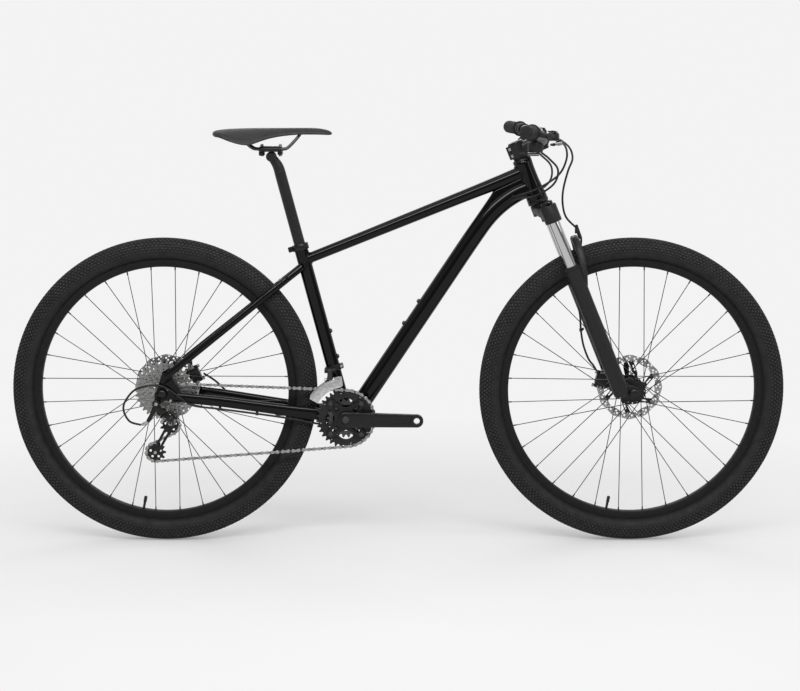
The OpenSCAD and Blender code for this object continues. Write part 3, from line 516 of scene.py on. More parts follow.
def sidewall_look(name, centre):
    """Tyre rubber with the fine moulded rings of its sidewall."""
    m = Look(name, grey(0.01), 0.66, Specular_IOR_Level=0.25)
    m.colour_by(m.noise(60, 5), grey(0.008), grey(0.015))
    m.rough_by(m.noise(150, 4), 0.56, 0.76)
    m.bump(m.noise(900, 0, where=m.radius_from(centre)), 0.35, 0.0003)
    return m.bump(m.noise(2200, 2), 0.15, 0.0001).material


def leather_look():
    m = Look("saddle_leather", grey(0.016), 0.5, Specular_IOR_Level=0.35)
    m.colour_by(m.noise(40, 5), grey(0.012), grey(0.02))
    m.rough_by(m.noise(200, 4), 0.42, 0.6)
    m.bump(m.cells(1100), 0.3, 0.00018)
    return m.bump(m.noise(3000, 2), 0.1, 0.00008).material


PAINT = paint_look()
FORK_PAINT = satin_look("matte_fork_paint", 0.007, 0.45)
ALLOY = satin_look("anodised_black_alloy", 0.011, 0.36, 0.2)
POLISHED = satin_look("polished_black_alloy", 0.009, 0.26, 0.2)
RIM_BLACK = rubber_look("anodised_black_rim", 0.005, 0.62)
SOFT_PLASTIC = moulded_look("matte_black_plastic", 0.012, 0.55)
RUBBER = rubber_look("grip_rubber", 0.012)
HOUSING = satin_look("cable_housing", 0.009, 0.4)
TREAD = rubber_look("tread_rubber", 0.03, 0.8)
STEEL = plated_look("zinc_plated_steel", 0.5)
CHAIN_STEEL = plated_look("chain_steel", 0.42, 0.28, 0.03)
CHAIN_INNER = plated_look("chain_inner_steel", 0.16, 0.34, 0.03)
DARK_STEEL = plated_look("black_oxide_steel", 0.09, 0.3, 0.0)
SPOKE_STEEL = satin_look("black_spoke_steel", 0.03, 0.28, 0.8)
CHROME = chrome_look()
LEATHER = leather_look()
PALE_ALLOY = satin_look("silver_alloy", 0.5, 0.3, 0.9)
FRICTION = moulded_look("brake_pad_compound", 0.16, 0.85)


# ---------------------------------------------------------------- wheels

CASING = [(11.2, 58), (11.3, 52), (13.6, 50.4), (19.2, 47.4), (24.6, 41), (27.2, 32),
          (26.6, 23), (24, 14.8), (19, 9), (12.5, 5.4), (6, 3.8), (0, 3.4)]
LINING = [(0, 5.6), (8, 6.2), (15, 9), (21, 15), (24, 23), (24.6, 31), (22.4, 38.4),
          (17.4, 44.8), (12, 47.8), (8.4, 51), (8.4, 58)]
KNOB_H = 3.3
KNOB_ROWS = 232
# columns of tread blocks: place along the casing, width, length, share of a row ahead
KNOBS = [(0, 4.6, 6, 0), (6.6, 4.8, 6, 0.5), (13.1, 4.8, 6, 0), (19.6, 4.8, 6.2, 0.5),
         (26.2, 4.6, 6.6, 0), (32.2, 4.2, 5.5, 0.5), (38.2, 3.8, 5.5, 0), (44, 3.4, 5, 0.5)]
SPOKES = 32
SPOKE_HOLES_R, FLANGE_R = 29, 32.0


def tyre(name, centre, body):
    look = sidewall_look(name + "_rubber", centre)
    outer = spline(CASING, 4).tolist()
    inner = spline(LINING, 3).tolist()
    ring = [(TYRE_R - d, w) for w, d in outer]
    ring += [(TYRE_R - d, -w) for w, d in reversed(outer[:-1])]
    ring += [(TYRE_R - d, -w) for w, d in reversed(inner)]
    ring += [(TYRE_R - d, w) for w, d in inner[1:]]
    Solid().lathe(ring, centre, Y, 180, caps=False).piece(name, look, body, "tyre", name, angle=50)
    piece(tread_knobs(name + "_knobs", centre), body, "tyre")


def tread_knobs(name, centre):
    """Small staggered tread blocks over the casing, from shoulder to shoulder."""
    run = spline(CASING, 8)[::-1]
    run = run[run[:, 1] < 38]
    length = np.concatenate([[0], np.cumsum(np.hypot(*np.diff(run, axis=0).T))])
    solid = Solid()
    corners = [(-1, -1), (1, -1), (1, 1), (-1, 1)]
    step = 2 * math.pi / KNOB_ROWS
    for at, wide, long, shift in KNOBS:
        for hand in ((1,) if at == 0 else (1, -1)):
            s = [at - wide / 2, at + wide / 2]
            w = np.interp(np.abs(s), length, run[:, 0]) * np.sign(s) * hand
            d = np.interp(np.abs(s), length, run[:, 1])
            flat = unit(vec(w[1] - w[0], d[1] - d[0], 0) if hand > 0
                        else vec(w[0] - w[1], d[0] - d[1], 0))
            up_w, up_d = hand * abs(flat[1]) * (at > 0), -abs(flat[0])
            for r in range(KNOB_ROWS):
                middle = (r + shift) * step
                half = long / 2 / TYRE_R
                points = []
                for lift, inset in ((-0.5, 0.0), (KNOB_H, 0.45)):
                    for cs, ct in corners:
                        k = (cs + 1) // 2
                        pull = inset * (1 if k == 0 else -1) / wide
                        width = w[k] + pull * abs(w[1] - w[0]) * np.sign(w[1] - w[0]) + lift * up_w
                        depth = d[k] + pull * (d[1] - d[0]) + lift * up_d
                        a = middle + ct * (half - inset / TYRE_R)
                        reach = TYRE_R - max(depth, 0.05)
                        points.append(centre + vec(reach * math.cos(a), width, reach * math.sin(a)))
                solid.add(points, [(0, 1, 2, 3), (4, 7, 6, 5), (0, 4, 5, 1), (1, 5, 6, 2),
                                   (2, 6, 7, 3), (3, 7, 4, 0)])
    return solid.build(name, TREAD, angle=30)


def rim(name, centre, body):
    half = [(11.4, 52.3), (11.4, 58.3), (7, 58.5), (6, 62)]
    outer = [(8, 70.2), (11.3, 68.6), (12.5, 65.5), (12.6, 56), (12.6, 52.6), (12.3, 52.3)]
    ring = [(TYRE_R - d, w) for w, d in half] + [(TYRE_R - d, -w) for w, d in reversed(half)]
    ring += [(TYRE_R - d, -w) for w, d in reversed(outer)] + [(TYRE_R - d, w) for w, d in outer]
    Solid().lathe(ring, centre, Y, 180, caps=False).piece(name, RIM_BLACK, body, "rim_black", name,
                                                          angle=35)
    valve = Solid()
    out = around(math.radians(259))
    valve.rod(centre + 299.5 * out, centre + 283 * out, 3.1, 16, 0.4)
    valve.rod(centre + 284 * out, centre + 268 * out, 3.9, 16, 1.2)
    valve.piece(name + "_valve", SOFT_PLASTIC, body, "rubber")


def wheel_spokes(name, centre, body, flange_left, flange_right):
    """Spokes laced three-cross, bent through their flange holes, with nipples at the rim."""
    wires, nipples = Solid(), Solid()
    rim_r = TYRE_R - 70
    for i in range(SPOKES):
        left, leads = i % 2 == 0, 1 if i % 4 < 2 else -1
        flange = flange_left if left else flange_right
        side = leads if left else -leads
        rim_a = math.radians(i * 360 / SPOKES + 6)
        hub_a = rim_a + math.radians(leads * 66)
        hole = centre + SPOKE_HOLES_R * around(hub_a) + flange * Y
        tip = centre + rim_r * around(rim_a) + (1.5 if left else -1.5) * Y
        root = hole + 3.5 * side * Y
        along = unit(tip - root)
        wires.tube([hole - 2.4 * side * Y, hole + 1.0 * side * Y,
                    hole + 2.5 * side * Y + 0.7 * along, root + 3 * along, tip], 1.0, 8, side=X)
        wires.rod(hole - 2.6 * side * Y, hole - 1.5 * side * Y, 2.0, 10, 0.4)
        nipples.rod(tip - 8 * along, tip, 1.7, 8, 0.3)
    wires.piece(name, SPOKE_STEEL, body, "spoke_black", name)
    nipples.piece(name + "_nipples", SPOKE_STEEL, body, "spoke_black")


def hub_flange(name, centre, y):
    c = xz(centre)
    holes = holes_round(c, SPOKE_HOLES_R, SPOKES // 2, 1.5, 0, 12)
    return plate(name, [circle2d(c, FLANGE_R, 72)] + holes, centre[1] + y, 3, POLISHED, 0.6, 2)


def hub(name, centre, body, profile, flanges):
    shell = Solid().lathe(profile, centre, Y, 64)
    parts = [shell.build(name, POLISHED)]
    parts += [hub_flange(name + "_flange", centre, y) for y in flanges]
    piece(join(name + "_shell", parts), body, "black_alloy", name)


def rotor(name, centre, y, body, turn=0.0):
    """A wavy brake rotor: a pierced steel ring on a black six-arm carrier."""
    c = xz(centre)
    look = brushed_look(name + "_steel", 0.42, centre, 0.3)

    def ring_points(base, wave, phase):
        a = ring_angles(240)
        r = base + wave * np.cos(12 * a + phase)
        return list(zip(c[0] + r * np.cos(a), c[1] + r * np.sin(a)))

    def polar(r, degrees):
        return spot(c, r, math.radians(degrees + turn))

    holes = []
    for k in range(24):
        for r, shift, size in ((75.0, 0, 2.1), (70.6, 5.5, 2.5), (66.0, 1.5, 2.1)):
            holes.append(circle2d(polar(r, k * 15 + shift), size, 10))
    band = plate(name, [ring_points(78.6, 1.3, turn), ring_points(62.4, 1.4, math.pi)]
                 + holes, y, 1.8, look, 0.12)
    piece(band, body, "rotor_steel", name)
    edge, openings = [], []
    for k in range(6):
        for r, shift in ((40, 1), (63.0, 21), (66.4, 24), (66.4, 30), (61.7, 33), (38, 17),
                         (30, 24), (28.5, 38), (31, 52)):
            edge.append(polar(r, k * 60 + shift))
        openings.append(circle2d(polar(31.5, k * 60 + 12), 2.6, 12))
        openings.append([polar(r, k * 60 + shift)
                         for r, shift in ((44, 10.5), (56, 20.5), (54, 23), (42, 15))])
    carrier = plate(name + "_carrier", [edge, circle2d(c, 15, 48)] + openings, y + 0.1, 2.2,
                    POLISHED, 0.3)
    bolts = Solid()
    for k in range(6):
        bolts.hex_bolt(at_depth(polar(22, k * 60 + 15), y + 1.1), Y, 3.4, 2.0)
        rivet = polar(64.2, k * 60 + 27)
        bolts.rod(at_depth(rivet, y - 1.5), at_depth(rivet, y + 1.6), 2.4, 16, 0.4)
    piece(carrier, body, "black_alloy")
    bolts.piece(name + "_bolts", STEEL, body, "drive_steel")


def quick_release(name, centre, body, lever_body, faces, housing_y, nut_y):
    """An axle with its locknuts, skewer, nut and cam, and the lever that turns over it."""
    solid = Solid()
    right, left, right_hub, left_hub = faces
    solid.rod(centre + (right - 5) * Y, centre + (left + 5) * Y, 5, 24, 0.4)
    for a, b in ((right, right_hub), (left_hub, left)):
        solid.lathe([(6.2, a), (9, a + 0.6), (9, b - 0.6), (6.2, b)], centre, Y, 32)
    solid.lathe([(7, nut_y), (10.4, nut_y - 1), (10.6, nut_y - 6), (9.6, nut_y - 11.5),
                 (7, nut_y - 13.6), (4, nut_y - 14)], centre, Y, 36)
    for t in ring_angles(12):
        out = around(t)
        solid.rod(centre + 9.9 * out + (nut_y - 1.5) * Y, centre + 9.2 * out + (nut_y - 11) * Y,
                  1.1, 8, 0.3)
    solid.lathe([(9.2, housing_y), (9.2, housing_y + 4.6), (7.6, housing_y + 5.8)], centre, Y, 36)
    solid.piece(name, POLISHED, body, "black_alloy", name)
    pivot = joint_at(lever_body.replace("lever", "flip"))
    arm = Solid()
    arm.rod(pivot - 7 * X, pivot + 7 * X, 6.3, 28, 1.2)
    path = spline([pivot + vec(0, 0, 2), pivot + vec(-1.5, -0.6, 18), pivot + vec(-4, 0.4, 36),
                   pivot + vec(-6, -0.2, 57)], 5)
    width = np.interp(np.arange(len(path)), [0, 5, 12, 15], [5.2, 4.2, 7.2, 4.5])
    arm.sweep(path, superellipse(1, 1, 2.6, 20), X, np.stack([width, np.full(len(path), 2.1)], 1))
    arm.piece(lever_body, POLISHED, lever_body, "black_alloy", lever_body)


def wheels():
    for end, centre in (("front", FRONT), ("rear", REAR)):
        body = end + "_wheel"
        tyre(end + "_tyre", centre, body)
        rim(end + "_rim", centre, body)
    wheel_spokes("front_spokes", FRONT, "front_wheel", 29, -32)
    wheel_spokes("rear_spokes", REAR, "rear_wheel", 34, -14)
    hub("front_hub", FRONT, "front_wheel",
        [(6, -40), (13, -39.6), (14.6, -37), (14.8, -34), (25, -33.2), (25, -30.6), (15.5, -27),
         (12.4, -18), (12, 0), (12.4, 16), (15.5, 24), (25, 27.6), (25, 30.4), (20, 31.6),
         (21.8, 33.5), (21.8, 38.5), (6, 38.6)], (29, -32))
    hub("rear_hub", REAR, "rear_wheel",
        [(6, -18.4), (24, -18.0), (25, -12.6), (17.5, -9), (15.5, -2), (15.2, 12), (16, 24),
         (18, 29), (25, 32.6), (25, 35.4), (20, 36.8), (21.8, 39), (21.8, 49), (6, 49.1)],
        (34, -14))
    rotor("front_rotor", FRONT, 39.5, "front_wheel")
    rotor("rear_rotor", REAR, 50, "rear_wheel", 12)
    quick_release("front_axle", FRONT, "fork_slider", "front_qr_lever", (-50, 50, -40.3, 42.5),
                  60, -60)
    quick_release("rear_axle", REAR, "frame", "rear_qr_lever", (-67.5, 67.5, -58, 53),
                  73.6, -73.6)


# ---------------------------------------------------------------- frame

DOWN_TUBE = [[-120, 0, 290, 19, 21], [-76, 0, 356.5, 21, 22], [20, 0, 500.5, 22, 22],
             [115, 0, 643, 22, 22], [180, 0, 740, 22, 22], [215, 0, 788, 21, 22],
             [250, 0, 822, 20, 22], [288, 0, 847, 19, 22], [326, 0, 861, 17, 21]]
TOP_TUBE = [[-226, 0, 683.3, 14, 12.5], [-72, 0, 745, 16, 13], [140, 0, 830.5, 17, 14.5],
            [240, 0, 870.5, 17.5, 16], [308, 0, 898.5, 18, 17.5]]
CHAINSTAY = [[-536, 69.5, 360.5, 6, 11], [-490, 67, 355, 7, 12], [-428, 60, 348, 7.5, 12.5],
             [-340, 52, 335, 8, 13], [-260, 43.5, 323, 8, 14], [-210, 38, 316, 7, 14.5],
             [-172, 34, 311, 6.5, 14.5], [-138, 28, 307, 6.5, 14]]
SEATSTAY = [[-556, 70, 410, 5.5, 8], [-500, 66, 454, 7, 8.5], [-420, 56, 518, 7, 8.5],
            [-340, 44, 582, 7, 8.5], [-300, 38.5, 614, 7, 8.5], [-262, 29, 644, 7, 8.5],
            [-232, 16, 668, 7, 9]]
SHIFT_TOP = [[330, -176, 948], [350, -150, 932], [374, -110, 905], [368, -70, 870],
             [330, -48, 842], [290, -34, 834], [272, -23, 829]]
REAR_HOSE_TOP = [[362, -176, 982], [374, -140, 976], [394, -90, 955], [398, -52, 925],
                 [380, -36, 888], [330, -38, 856], [290, -30, 842], [275, -23, 836]]
FRONT_HOSE_TOP = [[362, 176, 982], [372, 150, 978], [394, 110, 970], [414, 60, 952],
                  [420, 36, 926], [409, 31, 896], [398, 30, 852], [397, 30, 816],
                  [406, 30, 784], [432, 30, 758]]
FRONT_HOSE_LOW = [[432, 30, 758], [441.5, 31, 738], [442, 34, 715], [433, 37, 680], [427, 38, 640],
                  [434, 40, 590], [443, 47, 545], [446, 52, 508], [453, 57, 470], [466, 59, 436],
                  [478, 56, 420], [486, 52, 406]]
SHIFT_LOW = [[-140, -14, 281], [-175, -28, 286], [-215, -36, 294], [-260, -43, 304],
             [-340, -52, 317], [-428, -61, 330], [-490, -73, 340], [-520, -81, 359],
             [-550, -85, 382], [-580, -86, 391], [-625, -86, 382], [-651, -86, 354],
             [-656, -86, 330], [-642, -86, 304], [-615, -86, 295.5]]
REAR_HOSE_LOW = [[-140, 14, 281], [-175, 28, 286], [-215, 36, 294], [-260, 43, 304],
                 [-340, 54, 316], [-385, 67, 328], [-420, 71.5, 352], [-450, 70, 380],
                 [-478, 61, 400]]


def oval_tube(name, route, hands=(1,), sides=40):
    """An oval tube along [x, y, z, half-width, half-height] points, on one side or both."""
    solid = Solid()
    for hand in hands:
        run = spline(route, 7) * vec(1, hand, 1, 1, 1)
        solid.sweep(run[:, :3], superellipse(1, 1, 2.25, sides), Y, run[:, 3:])
    return solid.build(name, PAINT, angle=50)


def weld(name, path, halves, onto, radius, side=Y):
    """The rippled bead where an oval tube, carried along its path, runs into another piece."""
    t, u, w = carried_frames(np.asarray(path, float), side)
    tree = BVHTree.FromPolygons([v.co for v in onto.data.vertices],
                                [list(p.vertices) for p in onto.data.polygons])
    meets = []
    for a in ring_angles(72):
        off = halves[0] * math.cos(a) * u[0] + halves[1] * math.sin(a) * w[0]
        hit = tree.ray_cast(Vector((path[0] + off) * MM), Vector(t[0]), 0.2)
        if hit[0] is not None:
            meets.append(np.array(hit[0]) / MM)
    meets = np.array(meets)
    ring = np.concatenate([spline(meets, 3), spline(np.array([meets[-1], meets[0]]), 3)[1:-1]])
    heads = np.roll(ring, -1, 0) - np.roll(ring, 1, 0)
    solid, rings = Solid(), []
    ripple = radius * (1 + 0.1 * np.cos(np.arange(len(ring)) * 2 * math.pi / 4))
    for p, h, r in zip(ring, heads, ripple):
        s = unit(t[0] - (t[0] @ unit(h)) * unit(h))
        q = np.cross(unit(h), s)
        rings.append([p + r * (math.cos(b) * s + math.sin(b) * q) for b in ring_angles(10)])
    solid.loft([np.array(r) for r in rings], closed=True)
    solid.piece(name, PAINT, "frame", "frame_paint", angle=80)


def frame_tubes():
    head = Solid().lathe([(18, 11), (24.5, 11), (25, 11.5), (25, 18), (24.2, 27), (22.9, 38),
                          (21.7, 56), (21.5, 70), (21.7, 90), (22.5, 102), (22.5, 109.5),
                          (22, 110), (18, 110)], CROWN, STEER_UP, 64, caps=False)
    head = head.piece("head_tube", PAINT, "frame", "frame_paint", "head_tube", angle=45)
    piece(oval_tube("top_tube", TOP_TUBE), "frame", "frame_paint", "top_tube")
    piece(oval_tube("down_tube", DOWN_TUBE), "frame", "frame_paint", "down_tube")
    web = plate("head_web", [rounded([(157, 744), (180, 740), (215, 788), (250, 822), (290, 847),
                                      (318, 860), (300, 885), (229, 852), (221, 838)], 4, 3)],
                0, 27, PAINT, 5, 4)
    piece(web, "frame", "frame_paint")
    post = Solid()
    post.lathe([(13.7, 60), (16.5, 0), (16.5, 415), (16.9, 417), (16.9, 429.5), (16.4, 430),
                (13.7, 430)], BB, SEAT_UP, 64, caps=False)
    post.pipe(BB - 36.4 * Y, BB + 36.4 * Y, 21.5, 17, 64, 0.8)
    post = post.piece("seat_tube", PAINT, "frame", "frame_paint", "seat_tube")
    piece(oval_tube("chainstays", CHAINSTAY, (1, -1), 32), "frame", "frame_paint", "chainstays")
    upper = Solid()
    for hand in (1, -1):
        run = spline(SEATSTAY, 7) * vec(1, hand, 1, 1, 1)
        upper.sweep(run[:, :3], superellipse(1, 1, 2.2, 32), Y, run[:, 3:])
        upper.pipe(vec(-264, 26 * hand, 641), vec(-264, 40 * hand, 641), 6, 2.6, 24, 0.6)
    arch = [vec(-283, y, 628 + 0.0035 * (33**2 - y * y)) for y in np.linspace(-34, 34, 15)]
    upper.tube(arch, 7.6, 24, side=X)
    upper.piece("seatstays", PAINT, "frame", "frame_paint", "seatstays", angle=50)
    weld("weld_down_head", [vec(250, 0, 822), vec(280, 0, 842.5)], (19.4, 21.8), head, 2.4)
    weld("weld_top_head", [vec(262, 0, 879.5), vec(300, 0, 895.5)], (17.7, 16.8), head, 2.2)
    weld("weld_top_seat", [vec(-150, 0, 713.7), vec(-226, 0, 683.3)], (15, 12.7), post, 2.0)
    weld("weld_down_shell", [vec(-52, 0, 392), vec(-100, 0, 320)], (20.6, 21.8), post, 2.2)
    for hand, word in SIDES:
        weld("weld_chainstay_" + word, [vec(-200, 37 * hand, 314.7), vec(-140, 29.5 * hand, 308)],
             (6.8, 14.4), post, 1.6)
        weld("weld_seatstay_" + word, [vec(-256, 26.5 * hand, 649), vec(-228, 15 * hand, 670)],
             (7, 8.8), post, 1.6)
        weld("weld_bridge_" + word, [vec(-283, 22 * hand, 628), vec(-283, 40 * hand, 628)],
             (7.6, 7.6), bpy.data.objects["seatstays"], 1.0, X)


def arc2d(centre, radius, start, end, n):
    return [spot(centre, radius, math.radians(a)) for a in np.linspace(start, end, n)]


def rounded(corners, radius, n=5):
    """An outline whose corners are cut round."""
    c = [vec(*p) for p in corners]
    out = []
    for i, p in enumerate(c):
        a, b = c[i - 1] - p, c[(i + 1) % len(c)] - p
        cut = min(radius, np.linalg.norm(a) * 0.45, np.linalg.norm(b) * 0.45)
        a, b = p + cut * unit(a), p + cut * unit(b)
        for t in np.linspace(0, 1, n):
            out.append(tuple((1 - t) ** 2 * a + 2 * t * (1 - t) * p + t * t * b))
    return out


def link_outline(a, b, ra, rb, n=12):
    """Two discs and the tangents between them."""
    a, b = vec(*a), vec(*b)
    base = math.degrees(math.atan2(b[1] - a[1], b[0] - a[0]))
    spread = math.degrees(math.acos((ra - rb) / np.linalg.norm(b - a)))
    return arc2d(a, ra, base + spread, base + 360 - spread, n) + arc2d(b, rb, base - spread,
                                                                       base + spread, n)


def dropouts():
    c = xz(REAR)
    slot = arc2d(c, 5.1, 180, 0, 9)
    rim_of = [(-540.5, 407), (-520, 373), (-519, 347), (-545, 347)]
    edge = (rounded([(-566, 420), (-546, 432), *rim_of[:3], (-546, 346.5)], 4)
            + [(c[0] + 5.1, 352)] + [tuple(p) for p in reversed(slot)] + [(c[0] - 5.1, 354.2)]
            + arc2d(c, 15, 247, 157, 10))
    parts = [plate("dropout", [edge, circle2d((-548, 408), 2.6, 20)], 70.5 * hand, 6,
                   PAINT, 0.9, 3) for hand in (1, -1)]
    hang = joint_at("rd_b_pivot")
    h = xz(hang)
    hanger = [(h[0] - 8.2, h[1] - 3), (c[0] - 14.5, c[1] + 7), (c[0] - 6, c[1] + 14.5),
              (c[0] + 6, c[1] + 14), (c[0] + 13.5, c[1] + 5), (c[0] + 12, c[1] - 9),
              (h[0] + 9, h[1] - 2), (h[0] + 6, h[1] - 8), (h[0] - 4, h[1] - 8.6)]
    parts.append(plate("hanger", [rounded(hanger, 5), circle2d(c, 11.5, 40), circle2d(h, 5, 24)],
                       -75.6, 4.4, PAINT, 0.6, 2))
    screws = Solid()
    screws.hex_bolt(vec(-551, -77.8, 380), -Y, 3.2, 1.8)
    screws.hex_bolt(vec(-545, -73.5, 352), -Y, 3.0, 1.8)
    piece(join("dropouts", parts), "frame", "frame_paint", "dropouts")
    screws.piece("hanger_screws", STEEL, "frame", "drive_steel")


def bottle_bolts():
    bosses = Solid()
    along, out = unit(vec(98, 0, 147)), unit(vec(-147, 0, 98))
    for s in (195, 259):
        at = vec(-76, 0, 356.5) + s * along + 21.6 * out
        bosses.rod(at, at + 1.8 * out, 6.4, 28, 0.6)
        bosses.hex_bolt(at + 1.7 * out, out, 4.4, 3.4)
    for s in (145, 209):
        at = seat(s, 16.2)
        bosses.rod(at, at + 1.8 * SEAT_FWD, 6.4, 28, 0.6)
        bosses.hex_bolt(at + 1.7 * SEAT_FWD, SEAT_FWD, 4.4, 3.0)
    bosses.piece("bottle_bolts", DARK_STEEL, "frame", "black_alloy", "frame_bosses")


def cable_ports():
    ports = Solid()
    for hand in (1, -1):
        for x, z in ((275.6, 836), (271, 829)):
            ports.lathe([(3.0, 0), (5.6, 0), (5.2, 3), (3.6, 4.6), (3.0, 4.6)],
                        vec(x, 17.5 * hand, z), unit(vec(0.25, hand, 0.1)), 24, caps=False)
    ports.piece("cable_ports", SOFT_PLASTIC, "frame", "rubber")


def bearing_cups():
    cups = Solid()
    cups.lathe([(14.6, 1), (23.6, 1), (25.4, 2.6), (25.5, 9.6), (24.9, 10.8), (17, 10.9),
                (17, 25), (14.6, 25)], CROWN, STEER_UP, 64, caps=False)
    cups.lathe([(14.6, 98), (17, 98), (17, 110.1), (22.9, 110.1), (23, 111.6), (21.6, 114.4),
                (17.8, 116), (14.6, 116)], CROWN, STEER_UP, 64, caps=False)
    for hand in (1, -1):
        cups.lathe([(12.2, 26), (16.6, 26), (16.6, 36.6), (21, 36.8), (21, 44.6), (19.6, 46),
                    (14, 46), (13, 44.8), (12.2, 44.8)], BB, hand * Y, 64, caps=False)
        for a in ring_angles(16):
            at = BB + 20.6 * around(a)
            cups.rod(at + 37.5 * hand * Y, at + 44.4 * hand * Y, 1.5, 10, 0.4)
    cups.piece("bearing_cups", POLISHED, "frame", "black_alloy", "bearing_cups")


def seat_clamp():
    collar = Solid()
    collar.lathe([(17, 0.4), (17.4, 0), (19.6, 0), (20.1, 0.8), (20.1, 14), (19.4, 15),
                  (15, 15), (14.4, 14.4), (14.4, 13.8), (17, 13.8)], seat(416), SEAT_UP, 56,
                 caps=False)
    for hand in (1, -1):
        collar.block(seat(423.5, -23.5, 3.8 * hand), (13, 5.4, 12.6), SEAT_BASIS, 0.8, 4)
    eye = seat(423.5, -25.5)
    collar.rod(eye - 9.6 * Y, eye + 8.2 * Y, 2.6, 20)
    collar.hex_bolt(eye - 6.4 * Y, -Y, 4.3, 3.8)
    collar.rod(eye + 6.4 * Y, eye + 8.6 * Y, 4.0, 6, 0.4)
    collar.piece("seat_clamp", POLISHED, "frame", "black_alloy", "seat_clamp")


def housing(name, route):
    """A hose, or a cable's housing, 5 mm thick along its route."""
    return Solid().tube(spline(route, 8), 2.5, 16).build(name, HOUSING, angle=60)


def cable_clip(solid, at, along, towards, reach):
    """A small clip round a cable, with its foot on the tube beside it."""
    solid.pipe(at - 3.5 * unit(along), at + 3.5 * unit(along), 4.0, 2.55, 20, 0.5)
    side = unit(np.cross(along, towards))
    solid.block(at + unit(towards) * (2.6 + reach / 2), (6, 4.4, reach),
                (unit(along), side, unit(towards)), 0.5, 4)


def frame_cables():
    piece(housing("rear_brake_hose", REAR_HOSE_LOW), "frame", "rubber", "frame_cables")
    loop = housing("gear_housing", SHIFT_LOW)
    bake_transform(loop)
    clips = Solid()
    for hand, route, places in ((-1, SHIFT_LOW, (3, 4, 5)), (1, REAR_HOSE_LOW, (3, 4))):
        for i in places:
            at, after = vec(*route[i]), vec(*route[i + 1])
            cable_clip(clips, at, after - at, vec(0, -0.12 * hand, 1), 4.5)
    guide_at = BB + vec(-10, 0, -23.6)
    clips.block(guide_at, (34, 42, 4.6), AXES, 0.8, 4)
    for y in (-14, 14):
        clips.pipe(guide_at + vec(-22, y, -1.2), guide_at + vec(-2, y, -1.2), 4.2, 2.6, 20, 0.6)
    clips.piece("cable_clips", SOFT_PLASTIC, "frame", "rubber")


# ---------------------------------------------------------------- brakes


def caliper(name, axle, centre, rotor_y, body, pad):
    """A post-mount disc caliper: two bolted halves round the rotor, and its pads."""
    out = unit(vec(centre[0] - axle[0], 0, centre[1] - axle[2]))
    up = vec(-out[2], 0, out[0]) * math.copysign(1, out[0])
    basis = (out, up, np.cross(out, up))
    middle = vec(centre[0], rotor_y, centre[1])

    def at(x, z, y=0.0):
        return middle + x * out + z * up + y * Y

    solid = Solid()
    solid.block(at(0, 0, 9.2), (28, 31, 11.2), basis, 1.8, 3.2, 28)
    solid.block(at(0, 0, -6.2), (28, 31, 5.4), basis, 1.2, 3.2, 28)
    solid.block(at(12.4, 0, 2.4), (4.4, 24, 21), basis, 1, 4)
    solid.lathe([(12.4, 12), (12.4, 14.2), (11, 15.4), (6.5, 15.4), (6, 14.6), (0.01, 14.6)],
                middle, Y, 40)
    for z in (-14.5, 14.5):
        solid.block(at(6.5, z * 1.12, 6), (17, 9, 9), basis, 1.2, 3)
    bolts = Solid()
    for z in (-16.6, 16.6):
        bolts.rod(at(-4, z, 6), at(16, z, 6), 2.6, 16)
        bolts.hex_bolt(at(14.6, z, 6), out, 4.3, 4.6)
    for z in (-9, 9):
        bolts.hex_bolt(at(8, z, 14.4), Y, 2.8, 2.2)
    bolts.rod(at(12.6, 4, -8), at(12.6, 4, 9), 1.6, 12)
    banjo = Solid()
    banjo.rod(at(6, 10, 9), at(13, 18, 9), 4.4, 24, 0.8)
    moving = Solid()
    moving.block(at(0, 0, 2.35), (17.6, 17.6, 1.9), basis, 0.2, 4)
    fixed = Solid()
    fixed.block(at(0, 0, -2.35), (17.6, 17.6, 2.0), basis, 0.2, 4)
    solid.piece(name, ALLOY, body, "black_alloy", name)
    bolts.piece(name + "_bolts", STEEL, body, "drive_steel")
    banjo.piece(name + "_banjo", POLISHED, body, "black_alloy")
    fixed.piece(name + "_fixed_pad", FRICTION, body, "pad_friction")
    moving.piece(pad, FRICTION, pad, "pad_friction", pad)
    return at


def caliper_mounts(name, at, feet, swell, paint, body, slot):
    """Two curved posts from a caliper's bolts to their feet on the frame or the fork."""
    mounts = Solid()
    for z, foot in zip((16.6, -16.6), feet):
        mounts.tube(spline([at(1, z, 6), at(-2, z * 1.25, swell), foot], 5), 5.4, 20)
    mounts.piece(name, paint, body, slot)


def brakes():
    at = caliper("rear_caliper", REAR, (-499, 398), 50, "frame", "rear_pad")
    caliper_mounts("rear_caliper_mounts", at, (vec(-512, 66, 440), vec(-488, 66, 362)), 9, PAINT,
                   "frame", "frame_paint")
    at = caliper("front_caliper", FRONT, (496, 386), 39.5, "fork_slider", "front_pad")
    caliper_mounts("front_caliper_mounts", at, (vec(498, 45, 421), vec(516, 47, 372)), 10,
                   FORK_PAINT, "fork_slider", "fork_paint")


# ---------------------------------------------------------------- fork and steering


def leg_at(hand, up=0.0):
    """A place on a fork leg's own axis."""
    return steer(LEG_AHEAD, LEG_SIDE * hand, up)


